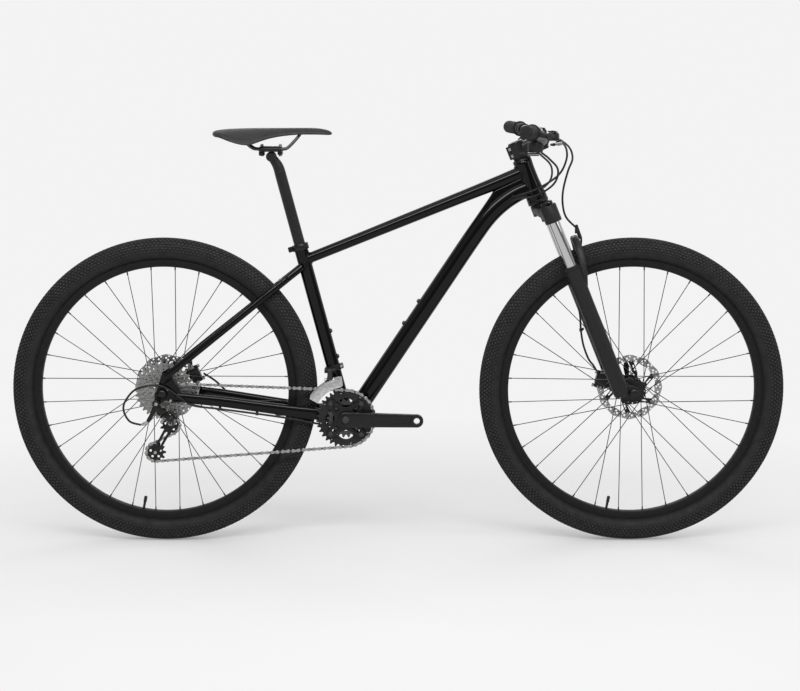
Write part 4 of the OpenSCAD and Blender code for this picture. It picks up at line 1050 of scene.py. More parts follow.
def fork_crown():
    solid, rings = Solid(), []
    for y in np.linspace(-LEG_SIDE, LEG_SIDE, 41):
        w = abs(y) / LEG_SIDE
        top, bottom = -7 * w**2.2 - 1.0, -26 - 22 * w**1.7
        hx, hz = 22.5 - 2.6 * w, (top - bottom) / 2
        rings.append(np.array([steer(LEG_AHEAD * w**1.3 + a, y, (top + bottom) / 2 - b)
                               for a, b in superellipse(hx, hz, 3.0, 36)]))
    solid.loft(rings)
    solid.lathe([(14.5, -26), (23, -26), (23, -3), (22, -1), (19, 0), (14.5, 0)], CROWN, STEER_UP,
                48, caps=False)
    for hand in (1, -1):
        foot = leg_at(hand)
        solid.lathe([(14.02, -50), (19.6, -50), (20.5, -49), (20.5, -10), (19.2, -7.4), (16, -6),
                     (0.01, -6)], foot, STEER_UP, 56)
    solid.rod(steer(0, 0, -24), steer(0, 0, 155), 14.3, 40)
    cap = Solid()
    cap.lathe([(12.5, -8), (12.5, -1.6), (11.3, 0), (7.2, 0), (6.6, -1), (0.01, -1)],
              leg_at(1), STEER_UP, 40)
    for a in ring_angles(8):
        out = math.cos(a) * STEER_FWD + math.sin(a) * Y
        cap.rod(leg_at(1, -0.5) + 9.4 * out, leg_at(1, 0.4) + 9.4 * out, 1.3, 10, 0.2)
    tubes = Solid()
    for hand in (1, -1):
        tubes.lathe([(12, -344), (13.2, -345), (14, -344), (14, -25), (12, -25)],
                    leg_at(hand), STEER_UP, 72, caps=False)
    solid.piece("fork_crown", FORK_PAINT, "fork", "fork_paint", "fork_crown")
    cap.piece("air_cap", POLISHED, "fork", "black_alloy")
    tubes.piece("stanchions", CHROME, "fork", "drive_steel")


def fork_knob():
    """The lockout knob on the right leg, with its ribs and its lever."""
    knob = Solid()
    top = leg_at(-1, -5.8)
    knob.lathe([(13, 0), (14, 0.8), (14, 5.8), (12.6, 8), (0.01, 8)], top, STEER_UP, 48)
    tab = unit(3 * STEER_FWD - 19 * Y)
    knob.sweep([top + 3.4 * STEER_UP + 8 * tab, top + 3.6 * STEER_UP + 18 * tab,
                top + 3.8 * STEER_UP + 22.6 * tab], superellipse(1, 1, 3, 20), STEER_FWD,
               [(7, 2.8), (4.6, 2.6), (3.4, 1.6)])
    for a in ring_angles(20):
        out = math.cos(a) * STEER_FWD + math.sin(a) * Y
        knob.rod(top + 1.2 * STEER_UP + 13.6 * out, top + 5.4 * STEER_UP + 13.4 * out, 0.9, 8, 0.2)
    knob.piece("fork_knob", POLISHED, "fork_knob", "black_alloy", "fork_knob")


def lowers():
    solid = Solid()
    for hand in (1, -1):
        leg = leg_at(hand)
        solid.lathe([(0.01, -499.8), (14, -499.8), (17.2, -498), (19, -493), (19.5, -484),
                     (19.5, -330), (18.9, -290), (18.9, -225), (19.5, -192), (20.4, -180),
                     (20.9, -176), (20.9, -173), (14.1, -173), (14.1, -455), (0.01, -456)],
                    leg, STEER_UP, 64)
    arch = np.array([[22, 60, -222, 11, 8.6], [34, 57, -190, 10.6, 8.8],
                     [44, 51, -158, 9.8, 8.4], [47.4, 40, -131, 9.3, 7.9],
                     [48, 22, -115, 9.4, 7.9], [48, 0, -110, 9.4, 7.9]])
    route = np.concatenate([arch, arch[-2::-1] * vec(1, -1, 1, 1, 1)])
    run = spline(route, 6)
    path = np.array([steer(*p[:3]) for p in run])
    solid.sweep(path, superellipse(1, 1, 2.8, 32), STEER_FWD, run[:, 3:])
    c = xz(FRONT)
    b = c + vec(-26, 8)
    edge = (arc2d(c, 15, 290, 437, 12) + arc2d(b, 13, 77, 248.7, 14) + [(c[0] - 5.1, c[1] - 14.1)]
            + arc2d(c, 5.1, 180, 0, 9) + [(c[0] + 5.1, c[1] - 14.1)])
    parts = [solid.build("fork_lowers", FORK_PAINT, angle=50)]
    for hand in (1, -1):
        parts.append(plate("lug", [edge], FRONT[1] + 55 * hand, 10, FORK_PAINT, 1.4, 3))
        web = Solid()
        web.sweep([steer(LEG_AHEAD, 61 * hand, -470), vec(c[0] - 22, 55 * hand, c[1] + 13),
                   vec(c[0] - 8, 55 * hand, c[1] + 6)], superellipse(1, 1, 3, 24), Y,
                  [(9, 17), (5, 13), (4.6, 8)])
        parts.append(web.build("web", FORK_PAINT, angle=50))
    piece(join("fork_lowers", parts), "fork_slider", "fork_paint", "fork_lowers")
    seals, feet = Solid(), Solid()
    for hand in (1, -1):
        leg = leg_at(hand)
        seals.lathe([(14.03, -174), (19.6, -174), (20.3, -172), (20.3, -169.6), (18.2, -168.6),
                     (18.2, -167.4), (16.2, -166.4), (15.2, -163.4), (14.03, -163)], leg,
                    STEER_UP, 56, caps=False)
        feet.hex_bolt(leg_at(hand, -499), -STEER_UP, 6, 2.4)
        feet.lathe([(6, -499), (9.5, -499), (9.5, -500.8), (6, -500.8)], leg, STEER_UP, 32,
                   caps=False)
    seals.piece("fork_seals", RUBBER, "fork_slider", "rubber")
    feet.piece("foot_bolts", DARK_STEEL, "fork_slider", "black_alloy")
    clips = Solid()
    clips.pipe(vec(429, 30, 766), vec(441, 30.5, 733), 4.6, 2.6, 24, 0.6)
    clips.block(vec(430, 26, 752), (7, 12, 12), AXES, 1, 3)
    for i in (5, 7):
        at, after = vec(*FRONT_HOSE_LOW[i]), vec(*FRONT_HOSE_LOW[i + 1])
        cable_clip(clips, at, after - at, vec(0.6, 0.25, 0.25), 5.5)
    clips.piece("front_hose_clips", SOFT_PLASTIC, "fork_slider", "rubber")
    piece(housing("front_hose", FRONT_HOSE_LOW), "fork_slider", "rubber", "front_hose")


# the bar runs from its clamp over a rise to the straight part that holds the grips
BAR = vec(340, 0, 973)
BEND_END, BAR_END = vec(323, 130, 991.5), vec(284, 365, 996.5)
BAR_OUT = unit(BAR_END - BEND_END)
BAR_BACK = unit(np.cross(Z, BAR_OUT))
BAR_DOWN = np.cross(BAR_BACK, BAR_OUT)


def hand_of(v, hand):
    """A vector drawn for the left side, on the side asked for."""
    return v * vec(1, hand, 1)


def on_bar(y, hand=1, down=0.0, back=0.0, out=0.0):
    """A place by the straight part of the bar, at a distance y from the middle of the bike."""
    p = BEND_END + (y - BEND_END[1]) / BAR_OUT[1] * BAR_OUT
    return hand_of(p + down * BAR_DOWN + back * BAR_BACK + out * BAR_OUT, hand)


def bar_and_stem():
    half = [[*BAR, 15.9], [340, 26, 973, 15.9], [340, 34, 973, 15.6], [339, 46, 973.8, 14.8],
            [336, 66, 977.5, 13.5], [331, 96, 986, 12.2], [*BEND_END, 11.6],
            [*on_bar(146), 11.1]]
    half = spline(half, 6).tolist() + [[*BAR_END, 11.1]]
    right = [[x, -y, z, r] for x, y, z, r in reversed(half[1:])]
    run = np.array(right + half)
    solid = Solid().tube(run[:, :3], run[:, 3], 40, side=X)
    solid.piece("handlebar", ALLOY, "fork", "black_alloy", "handlebar", angle=60)
    v = BAR - CROWN
    bx, bz = v @ STEER_FWD, v @ STEER_UP
    stem = Solid()
    stem.lathe([(14.4, 119.6), (18.8, 119.6), (19.5, 120.4), (19.5, 154.6), (18.6, 155.4),
                (14.4, 155.4)], CROWN, STEER_UP, 56, caps=False)
    neck = [steer(6, 0, 137), steer(22, 0, 138), steer(34, 0, 139.4), steer(46, 0, bz)]
    stem.sweep(spline(neck, 4), superellipse(1, 1, 3.2, 36), Y,
               spline([[16, 16], [15, 15], [15.5, 15], [20, 17]], 4))
    for hand in (1, -1):
        stem.block(steer(-17, 5.2 * hand, 137.5), (17, 8, 32), STEER_BASIS, 1, 4)
    lean = math.degrees(math.atan2(STEER_FWD[2], STEER_FWD[0]))
    c = xz(BAR)
    back = arc2d(c, 20.5, lean + 84, lean + 276, 22) + arc2d(c, 15.95, lean + 276, lean + 84, 22)
    face = arc2d(c, 20.3, lean - 78, lean + 78, 20) + arc2d(c, 15.95, lean + 78, lean - 78, 20)
    parts = [stem.build("stem", ALLOY), plate("clamp_back", [back], 0, 48, ALLOY, 1.0, 3),
             plate("clamp_face", [face], 0, 46, ALLOY, 1.2, 3)]
    ears = Solid()
    for y in (-16.5, 16.5):
        for z in (-20, 20):
            ears.rod(steer(bx - 8, y, bz + z), steer(bx + 9.6, y, bz + z), 5.4, 24, 1)
    parts.append(ears.build("ears", ALLOY))
    piece(join("stem", parts), "fork", "black_alloy", "stem")
    screws = Solid()
    for y in (-16.5, 16.5):
        for z in (-20, 20):
            screws.hex_bolt(steer(bx + 9.4, y, bz + z), STEER_FWD, 4.2, 2.8)
    for z in (129, 146):
        screws.hex_bolt(steer(-18, -9, z), -Y, 3.9, 3.2)
    screws.hex_bolt(steer(0, 0, 158.6), STEER_UP, 4.8, 1.6)
    screws.piece("stem_screws", STEEL, "fork", "drive_steel")
    rings = Solid()
    rings.lathe([(14.4, 116.2), (18, 116.2), (18.5, 116.8), (18.5, 118.9), (18, 119.4),
                 (14.4, 119.4)], CROWN, STEER_UP, 56, caps=False)
    rings.lathe([(15, 155.6), (17.6, 155.6), (18, 156.4), (17.6, 158), (15, 159.4),
                 (8, 159.4), (7.4, 158.4), (0.01, 158.4)], CROWN, STEER_UP, 56)
    rings.piece("spacer_and_cap", POLISHED, "fork", "black_alloy")


def grips():
    solid = Solid()
    for hand in (1, -1):
        origin, axis = on_bar(238, hand), hand_of(BAR_OUT, hand)
        profile = [(11.2, 0), (17.6, 0), (19, 1), (19, 2.8), (17.4, 4), (15.8, 5.4)]
        z = 8.0
        while z < 118:
            profile += [(15.6, z), (15.6, z + 2.2), (14.9, z + 2.7), (14.9, z + 3.7)]
            z += 4.2
        profile += [(15.6, z), (15.6, 127), (14.8, 130.6), (11.5, 131.8), (0.01, 131.8)]
        solid.lathe(profile, origin, axis, 44)
    solid.piece("grips", RUBBER, "fork", "rubber", "grips", angle=35)


LEVER_BLADE = [[24, -58, -18, 4.2, 5.6], [24, -62, -4, 3.8, 5.2], [24, -63, 8, 3.4, 5],
               [25, -62, 34, 3.2, 5.6], [26, -56.5, 62, 3.2, 5.8], [27, -53, 84, 3.2, 5.4],
               [27, -57, 96, 3, 4.2]]


def brake_controls():
    perches, caps, screws = Solid(), Solid(), Solid()
    for hand, word in SIDES:
        def at(x, y, z, hand=hand):
            return on_bar(226, hand, x, y, z)

        down, back, out = (hand_of(d, hand) for d in (BAR_DOWN, BAR_BACK, BAR_OUT))
        perches.pipe(at(0, 0, -6.5), at(0, 0, 6.5), 15.4, 11.15, 44, 1)
        perches.sweep([at(2, -12, 0), at(6, -24, -3), at(9, -38, -8)],
                      superellipse(1, 1, 3, 24), out, [(6.2, 8), (6.6, 6), (9, 6)])
        for z in (-4.2, 4.2):
            screws.hex_bolt(at(-9, -14.6, z), -down, 2.6, 2.4)
        perches.block(at(0, -15.4, 0), (18, 6, 13), (down, back, out), 1, 4)
        perches.lathe([(4.6, -50), (5.6, -49), (6.4, -44), (9.4, -40), (10, -34), (10, 8),
                       (9, 16), (6.2, 22), (0.01, 22.2)], at(9, -41, 0), out, 36)
        perches.block(at(9, -50, -16), (20, 17, 34), (down, back, out), 3, 3)
        for x in (16.8, 27.6):
            perches.block(at(x, -58, -18), (2.6, 16, 17), (down, back, out), 0.6, 3)
        caps.block(at(-2.6, -44, -14), (3.2, 20, 40), (down, back, out), 1, 4)
        for z in (-29, 1):
            screws.hex_bolt(at(-4, -44, z), -down, 1.8, 1.2)
        screws.rod(at(15, -58, -18), at(30, -58, -18), 2.4, 16)
        lever, run = Solid(), spline(LEVER_BLADE, 5)
        path = np.array([at(*p[:3]) for p in run])
        lever.sweep(path, superellipse(1, 1, 2.5, 24), down, run[:, 3:])
        lever.rod(at(19, -58, -18), at(28.2, -58, -18), 6.6, 28, 0.8)
        name = "brake_lever_" + word
        lever.piece(name, POLISHED, name, "control_black", name)
    perches.piece("brake_perches", SOFT_PLASTIC, "fork", "control_black", "brake_perches")
    caps.piece("reservoir_caps", POLISHED, "fork", "control_black")
    screws.piece("control_screws", STEEL, "fork", "drive_steel")


def shifters():
    pods = Solid()
    for hand, word in SIDES:
        def at(x, y, z, hand=hand):
            return on_bar(204, hand, x, y, z)

        down, back, out = (hand_of(d, hand) for d in (BAR_DOWN, BAR_BACK, BAR_OUT))
        pods.pipe(at(0, 0, -5), at(0, 0, 5), 15, 11.15, 40, 0.9)
        pods.block(at(16, 0, 0), (14, 15, 11), (down, back, out), 1.2, 3)
        pods.lathe([(14, 22), (17, 23), (18, 26), (18, 40), (16.4, 45), (12, 46), (0.01, 46)],
                   at(0, -4, -2), down, 48)
        pods.lathe([(9, 18.5), (13, 19.4), (15, 22.4)], at(0, -4, -2), down, 40)
        pods.rod(at(33, -14, -12), at(33, -15, -26), 5.2, 24, 1)
        pods.rod(at(33, -15, -25), at(33.4, -15.6, -35), 3.8, 20, 0.8)
        for name, gap, tip, thick, wide in (("shift_thumb_", 0.5, (26, 26), 3.6, 7),
                                            ("shift_trigger_", 4.9, (14, -30), 2.6, 6.4)):
            obj = plate(name + word, [link_outline((0, 0), tip, 9, wide)], 0, thick, SOFT_PLASTIC,
                        0.9, 3)
            lift = 46 + gap + thick / 2
            moved(obj, lambda p, lift=lift, at=at, down=down, back=back, out=out:
                  at(lift, -4, -2) + np.outer(p[:, 0], back) + np.outer(p[:, 2], out)
                  + np.outer(p[:, 1], down))
            merge_close(obj.data)
            piece(obj, name + word, "control_black", name + word)
    pods.piece("shifter_pods", SOFT_PLASTIC, "fork", "control_black", "shifter_pods")


def bar_cables():
    lead = on_bar(226, 1, 9, -41, -49)
    front = [lead.tolist()] + FRONT_HOSE_TOP
    hose = housing("front_brake_hose", front)
    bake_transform(hose)
    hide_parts("handlebar_cables")
    rear = [hand_of(lead, -1).tolist()] + REAR_HOSE_TOP
    pod = on_bar(204, 1, 33.4, -15.6, -34).tolist()
    right, left = np.array([pod] + SHIFT_TOP, float), np.array([pod] + SHIFT_TOP, float)
    right[0] *= vec(1, -1, 1)
    left[1:] *= vec(1, -1, 1)
    for name, route in (("rear_brake_hose_top", rear), ("gear_housing_right", right),
                        ("gear_housing_left", left)):
        obj = housing(name, route)
        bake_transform(obj)


# ---------------------------------------------------------------- drivetrain


def pitch_radius(n):
    """The radius at which a chain's pins run round n teeth."""
    return PITCH / 2 / math.sin(math.pi / n)


def gear_outline(c, n, first=0.0):
    """Teeth with round roots between narrow tips."""
    r = pitch_radius(n)
    shape = [(-0.5, -3.9), (-0.4, -3.6), (-0.3, -2.2), (-0.22, 0.2), (-0.1, 3.2), (0.1, 3.2),
             (0.22, 0.2), (0.3, -2.2), (0.4, -3.6)]
    return [spot(c, r + h, math.radians(first) + 2 * math.pi * (i + s) / n)
            for i in range(n) for s, h in shape]


def holes_round(c, radius, count, size, shift, sides=10):
    return [circle2d(spot(c, radius, a + shift), size, sides) for a in ring_angles(count)]


def cassette():
    c = xz(REAR)
    steel = brushed_look("cassette_steel", 0.34, REAR, 0.34, 0.01)
    parts = []
    for i, teeth in enumerate(COGS):
        r = pitch_radius(teeth)
        holes = []
        if r > 30:
            rows = int((r - 12 - 20) // 8.2) + 1
            for k in range(rows):
                at = r - 11 - 8.2 * k
                count = int(2 * math.pi * at / 10.5)
                holes += holes_round(c, at, count, 2.7, 0.5 * k)
        parts.append(plate(f"cog_{teeth}", [gear_outline(c, teeth, 90 if i == 0 else 0),
                                            circle2d(c, 15.5, 40)] + holes,
                           CHAIN_Y + i * COG_STEP, 1.8, steel, 0.2))
    core = Solid()
    core.pipe(REAR + (CHAIN_Y - 2.6) * Y, REAR + (CHAIN_Y + 34.5) * Y, 16.4, 10, 48, 0.5)
    core.lathe([(10, -3.2), (13.8, -3.2), (14.6, -2.2), (14.6, -0.4), (10, -0.4)],
               REAR + CHAIN_Y * Y, Y, 40, caps=False)
    parts.append(core.build("core", steel))
    piece(join("cassette", parts), "cassette", "drive_steel", "cassette")


def chainrings():
    c = xz(BB)
    black = satin_look("machined_black_ring", 0.02, 0.3, 0.5)

    def bolt_holes(r, size):
        return [circle2d(spot(c, r, a), size, 20) for a in RING_ARMS]

    def inner(r, reach):
        """The inside edge dips outwards between the bolts."""
        a = ring_angles(120)
        bow = reach * np.clip(np.cos(4 * a), 0, 1)
        return list(zip(c[0] + (r + bow) * np.cos(a), c[1] + (r + bow) * np.sin(a)))

    big = plate("big_ring", [gear_outline(c, BIG_RING, 90), inner(45, 5)] + bolt_holes(52, 4.1),
                CHAIN_Y, 2.0, black, 0.25, 2)
    small = plate("small_ring", [gear_outline(c, SMALL_RING), inner(28.5, 3)] + bolt_holes(34, 3.4),
                  CHAIN_Y + 8, 2.0, DARK_STEEL, 0.25, 2)
    piece(big, "crank", "black_alloy", "chainrings")
    piece(small, "crank", "drive_steel")
    pins = Solid()
    for k in range(8):
        at = at_depth(spot(c, 61.5, math.radians(k * 45 + 11)), CHAIN_Y)
        pins.rod(at - 1.5 * Y, at + 2.6 * Y, 1.6, 12, 0.3)
    pins.piece("shift_pins", STEEL, "crank", "drive_steel")


def crank():
    c = xz(BB)
    parts = []
    for hand, reach in ((-1, CRANK_R), (1, -CRANK_R)):
        end = c + vec(reach, 0)
        arm = plate("arm", [link_outline(c, end, 18, 15.6, 20), circle2d(end, 7.2, 32)],
                    0, 15, POLISHED, 2.4, 4)

        def lean(p, reach=reach, hand=hand):
            t = np.clip((p[:, 0] - c[0]) / reach, -0.1, 1.1)
            q = p.copy()
            waist = 1 - 0.16 * np.sin(np.clip(t, 0, 1) * math.pi)
            q[:, 2] = c[1] + (p[:, 2] - c[1]) * waist
            q[:, 1] = hand * (71.5 + 19.5 * t + p[:, 1] * (1 - 0.06 * t))
            return q

        parts.append(moved(arm, lean))
        merge_close(arm.data)
        boss = Solid()
        boss.lathe([(18.2, 62.2), (18.4, 66), (17.8, 79), (16, 80.2), (12.4, 80.2), (12, 79),
                    (12, 62.2)], BB, hand * Y, 48, caps=False)
        boss.lathe([(7.2, 84.4), (15.4, 84.4), (15.7, 86), (15.7, 96.4), (14.4, 98), (8.6, 98),
                    (7.2, 96.8)], at_depth(end, 0), hand * Y, 44, caps=False)
        parts.append(boss.build("boss", POLISHED))
    centre = Solid()
    centre.rod(BB - 79 * Y, BB + 79 * Y, 11.9, 40, 0.6)
    centre.lathe([(12, 46.4), (14.6, 46.4), (14.6, 61.8), (12, 61.8)], BB, Y, 40, caps=False)
    parts.append(centre.build("spindle", POLISHED))
    edge, slots = [], []
    for a in RING_ARMS:
        for r, da in ((27, -45), (29, -34), (40, -17), (52, -12.5), (58, -9), (60.5, 0), (58, 9),
                      (52, 12.5), (40, 17), (29, 34)):
            edge.append(spot(c, r, a + math.radians(da)))
        u, w = vec(math.cos(a), math.sin(a)), vec(-math.sin(a), math.cos(a))
        slots.append([tuple(c + r * u + s * w) for r, s in ((27, -5), (43, -3.6), (45, 0),
                                                           (43, 3.6), (27, 5), (25, 0))])
    parts.append(plate("spider", [edge, circle2d(c, 12, 40)] + slots, -59.3, 6.4, POLISHED, 1.3, 4))
    piece(join("crank_arms", parts), "crank", "black_alloy", "crank_arms")
    bolts = Solid()
    for a in RING_ARMS:
        at = BB + 52 * around(a)
        bolts.rod(at - 63 * Y, at - 52.4 * Y, 4.0, 20)
        bolts.hex_bolt(at - 62.2 * Y, -Y, 5.6, 2.2)
        at = BB + 34 * around(a)
        bolts.rod(at - 55 * Y, at - 44 * Y, 3.2, 16)
        bolts.hex_bolt(at - 46 * Y, Y, 4.6, 2.0)
    bolts.piece("chainring_bolts", DARK_STEEL, "crank", "black_alloy")
    ends = Solid()
    for hand in (1, -1):
        ends.hex_bolt(BB + 78.6 * hand * Y, hand * Y, 8.6, 2.4)
    ends.piece("crank_bolts", DARK_STEEL, "crank", "black_alloy")


def tangent(a, b, ra, rb, side, crossing):
    """The two points where a straight run leaves circle a and meets circle b."""
    v = b - a
    l = np.linalg.norm(v)
    u = v / l
    lean = (ra + (rb if crossing else -rb)) / l
    k = u * lean + vec(-u[1], u[0]) * side * math.sqrt(1 - lean * lean)
    return a + ra * k, b + (-rb if crossing else rb) * k


def turn(c, r, p, q, sense, n=40):
    """The way round c from p to q; sense is 1 where it turns clockwise."""
    a0, a1 = (math.atan2(*(s - c)[::-1]) for s in (p, q))
    w = (sense * (a0 - a1)) % (2 * math.pi)
    return [c + r * vec(math.cos(a0 - sense * w * i / n), math.sin(a0 - sense * w * i / n))
            for i in range(n + 1)]


def chain_loop():
    """Pins of the chain, as [x, z], and the pins where its lower run starts and ends."""
    rear, bb = xz(REAR), xz(BB)
    guide, tension = xz(GUIDE), xz(TENSION)
    ring, cog, pulley = (pitch_radius(n) for n in (BIG_RING, COGS[0], PULLEY))
    top = tangent(rear, bb, cog, ring, 1, False)
    low = tangent(tension, bb, pulley, ring, -1, False)
    fall = tangent(rear, guide, cog, pulley, 1, True)
    cross = tangent(guide, tension, pulley, pulley, 1, True)
    runs = [turn(bb, ring, top[1], low[1], 1, 90), turn(tension, pulley, low[0], cross[1], 1),
            turn(guide, pulley, cross[0], fall[1], -1), turn(rear, cog, fall[0], top[0], 1)]
    leaves, _, climbs, _ = np.cumsum([len(run) for run in runs]) - 1
    path = np.array(sum(runs, []) + [top[1]])
    steps = np.concatenate([[0], np.cumsum(np.linalg.norm(np.diff(path, axis=0), axis=1))])
    count = 2 * round(steps[-1] / PITCH / 2)
    s = np.arange(count) * steps[-1] / count
    pins = np.stack([np.interp(s, steps, path[:, k]) for k in (0, 1)], 1)
    return pins, int(np.argmax(s > steps[leaves])), int(np.argmax(s > steps[climbs]))


def chain_links(name, pins, indices):
    """Outer and inner links by turns, with their pins and rollers."""
    outers, inners, rollers = Solid(), Solid(), Solid()
    big, waist = 4.1, 2.1
    t = np.linspace(math.pi / 2 + 0.35, 3 * math.pi / 2 - 0.35, 9)
    for i in indices:
        a, b = pins[i], pins[(i + 1) % len(pins)]
        outer = i % 2 == 0
        v = b - a
        u = unit(v)
        w = vec(-u[1], u[0])
        l = np.linalg.norm(v)
        outline = [(big * math.cos(x), big * math.sin(x)) for x in t] + [(l / 2, -waist)]
        outline += [(l - big * math.cos(x), -big * math.sin(x)) for x in t]
        outline += [(l / 2, waist)]
        o = np.array(outline)
        near_y = 2.25 if outer else 1.2
        for hand in (1, -1):
            y0 = CHAIN_Y + hand * near_y
            y1 = y0 + hand * 1.0
            rings = []
            for y, shrink in ((y0, 1.0), (y0 + 0.75 * (y1 - y0), 1.0), (y1, 0.9)):
                mid = vec(l / 2, 0)
                q = mid + (o - mid) * vec(1 - (1 - shrink) * 0.35, shrink)
                rings.append(np.array([[*(a + x * u + z * w), 0] for x, z in q])[:, [0, 2, 1]]
                             + vec(0, y, 0))
            if hand < 0:
                rings = [r[::-1] for r in rings]
            (outers if outer else inners).loft(rings)
        at = at_depth(a, CHAIN_Y)
        rollers.rod(at - 3.7 * Y, at + 3.7 * Y, 1.8, 12, 0.3)
        rollers.rod(at - 1.15 * Y, at + 1.15 * Y, 3.8, 14)
    return join(name, [outers.build(name, CHAIN_STEEL, angle=35),
                       inners.build("inner_plates", CHAIN_INNER, angle=35),
                       rollers.build("pins", CHAIN_STEEL)])


def chain():
    pins, leaves, climbs = chain_loop()
    n = len(pins)
    upper = [i % n for i in range(climbs, n + leaves)]
    lower = list(range(leaves, climbs))
    piece(chain_links("chain_upper_run", pins, upper), "frame", "drive_steel", "chain")
    obj = chain_links("chain_lower_run", pins, lower)
    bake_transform(obj)


def front_derailleur():
    clamp = Solid()
    clamp.lathe([(16.6, 0), (18.9, 0), (19.5, 0.7), (19.5, 13.3), (18.9, 14), (16.6, 14)],
                seat(113), SEAT_UP, 48, caps=False)
    for y in (-6, 6):
        clamp.block(seat(120, 20, y), (9, 9, 12), SEAT_BASIS, 1, 4)
    clamp.block(vec(-165, -20, 419), (26, 24, 12), AXES, 2, 3.4)
    pivot, hang = vec(-165, -33, 419), vec(-165, -50, 399)
    for x in (-10, 10):
        clamp.rod(pivot + (x - 3) * X, pivot + (x + 3) * X, 6, 24, 0.8)
    clamp.rod(pivot - 13 * X, pivot + 13 * X, 2.5, 16)
    clamp.piece("fd_clamp", ALLOY, "frame", "black_alloy", "fd_clamp")
    bolt = Solid()
    bolt.hex_bolt(seat(120, 20, -10), -Y, 4, 3.4)
    bolt.piece("fd_clamp_bolt", STEEL, "frame", "drive_steel")
    links = Solid()
    links.sweep([pivot, (pivot + hang) / 2, hang], superellipse(1, 1, 4, 24), X,
                [(6.8, 5), (5.6, 3.6), (6.8, 4.6)])
    links.rod(pivot - 7 * X, pivot + 7 * X, 5.4, 24, 0.6)
    links.rod(hang - 7 * X, hang + 7 * X, 4.9, 24, 0.6)
    links.piece("fd_links", ALLOY, "fd_links", "black_alloy", "fd_links")
    c = xz(BB)

    def sector(r0, r1, a0, a1):
        return rounded([*arc2d(c, r1, a0, a1, 22), *arc2d(c, r0, a1, a0, 22)], 4, 2)

    cage = [plate("cage_outer", [sector(77, 100, 97.5, 151)], -60.9, 1.5, PALE_ALLOY, 0.3, 2),
            plate("cage_inner", [sector(77, 102, 95.5, 149.5)], -47.1, 1.5, PALE_ALLOY, 0.3, 2),
            plate("bridge_top", [sector(98.4, 100.2, 98, 104)], -54, 14, PALE_ALLOY, 0.3, 1),
            plate("bridge_end", [sector(77.4, 79.6, 144, 149.5)], -54, 14, PALE_ALLOY, 0.3, 1),
            plate("rib", [sector(94, 97, 102, 146)], -62.2, 1.6, PALE_ALLOY, 0.5, 3)]
    hinge = Solid()
    hinge.rod(hang - 12.6 * X, hang + 12.6 * X, 2.5, 16)
    for x in (-9.8, 9.8):
        hinge.rod(hang + (x - 2.2) * X, hang + (x + 2.2) * X, 4.6, 24, 0.5)
        hinge.block(hang + vec(x, 1.6, -1.5), (4.2, 5, 9), AXES, 0.6, 4)
    cage.append(hinge.build("hinge", PALE_ALLOY))
    piece(join("fd_cage", cage), "fd_cage", "drive_steel", "fd_cage")


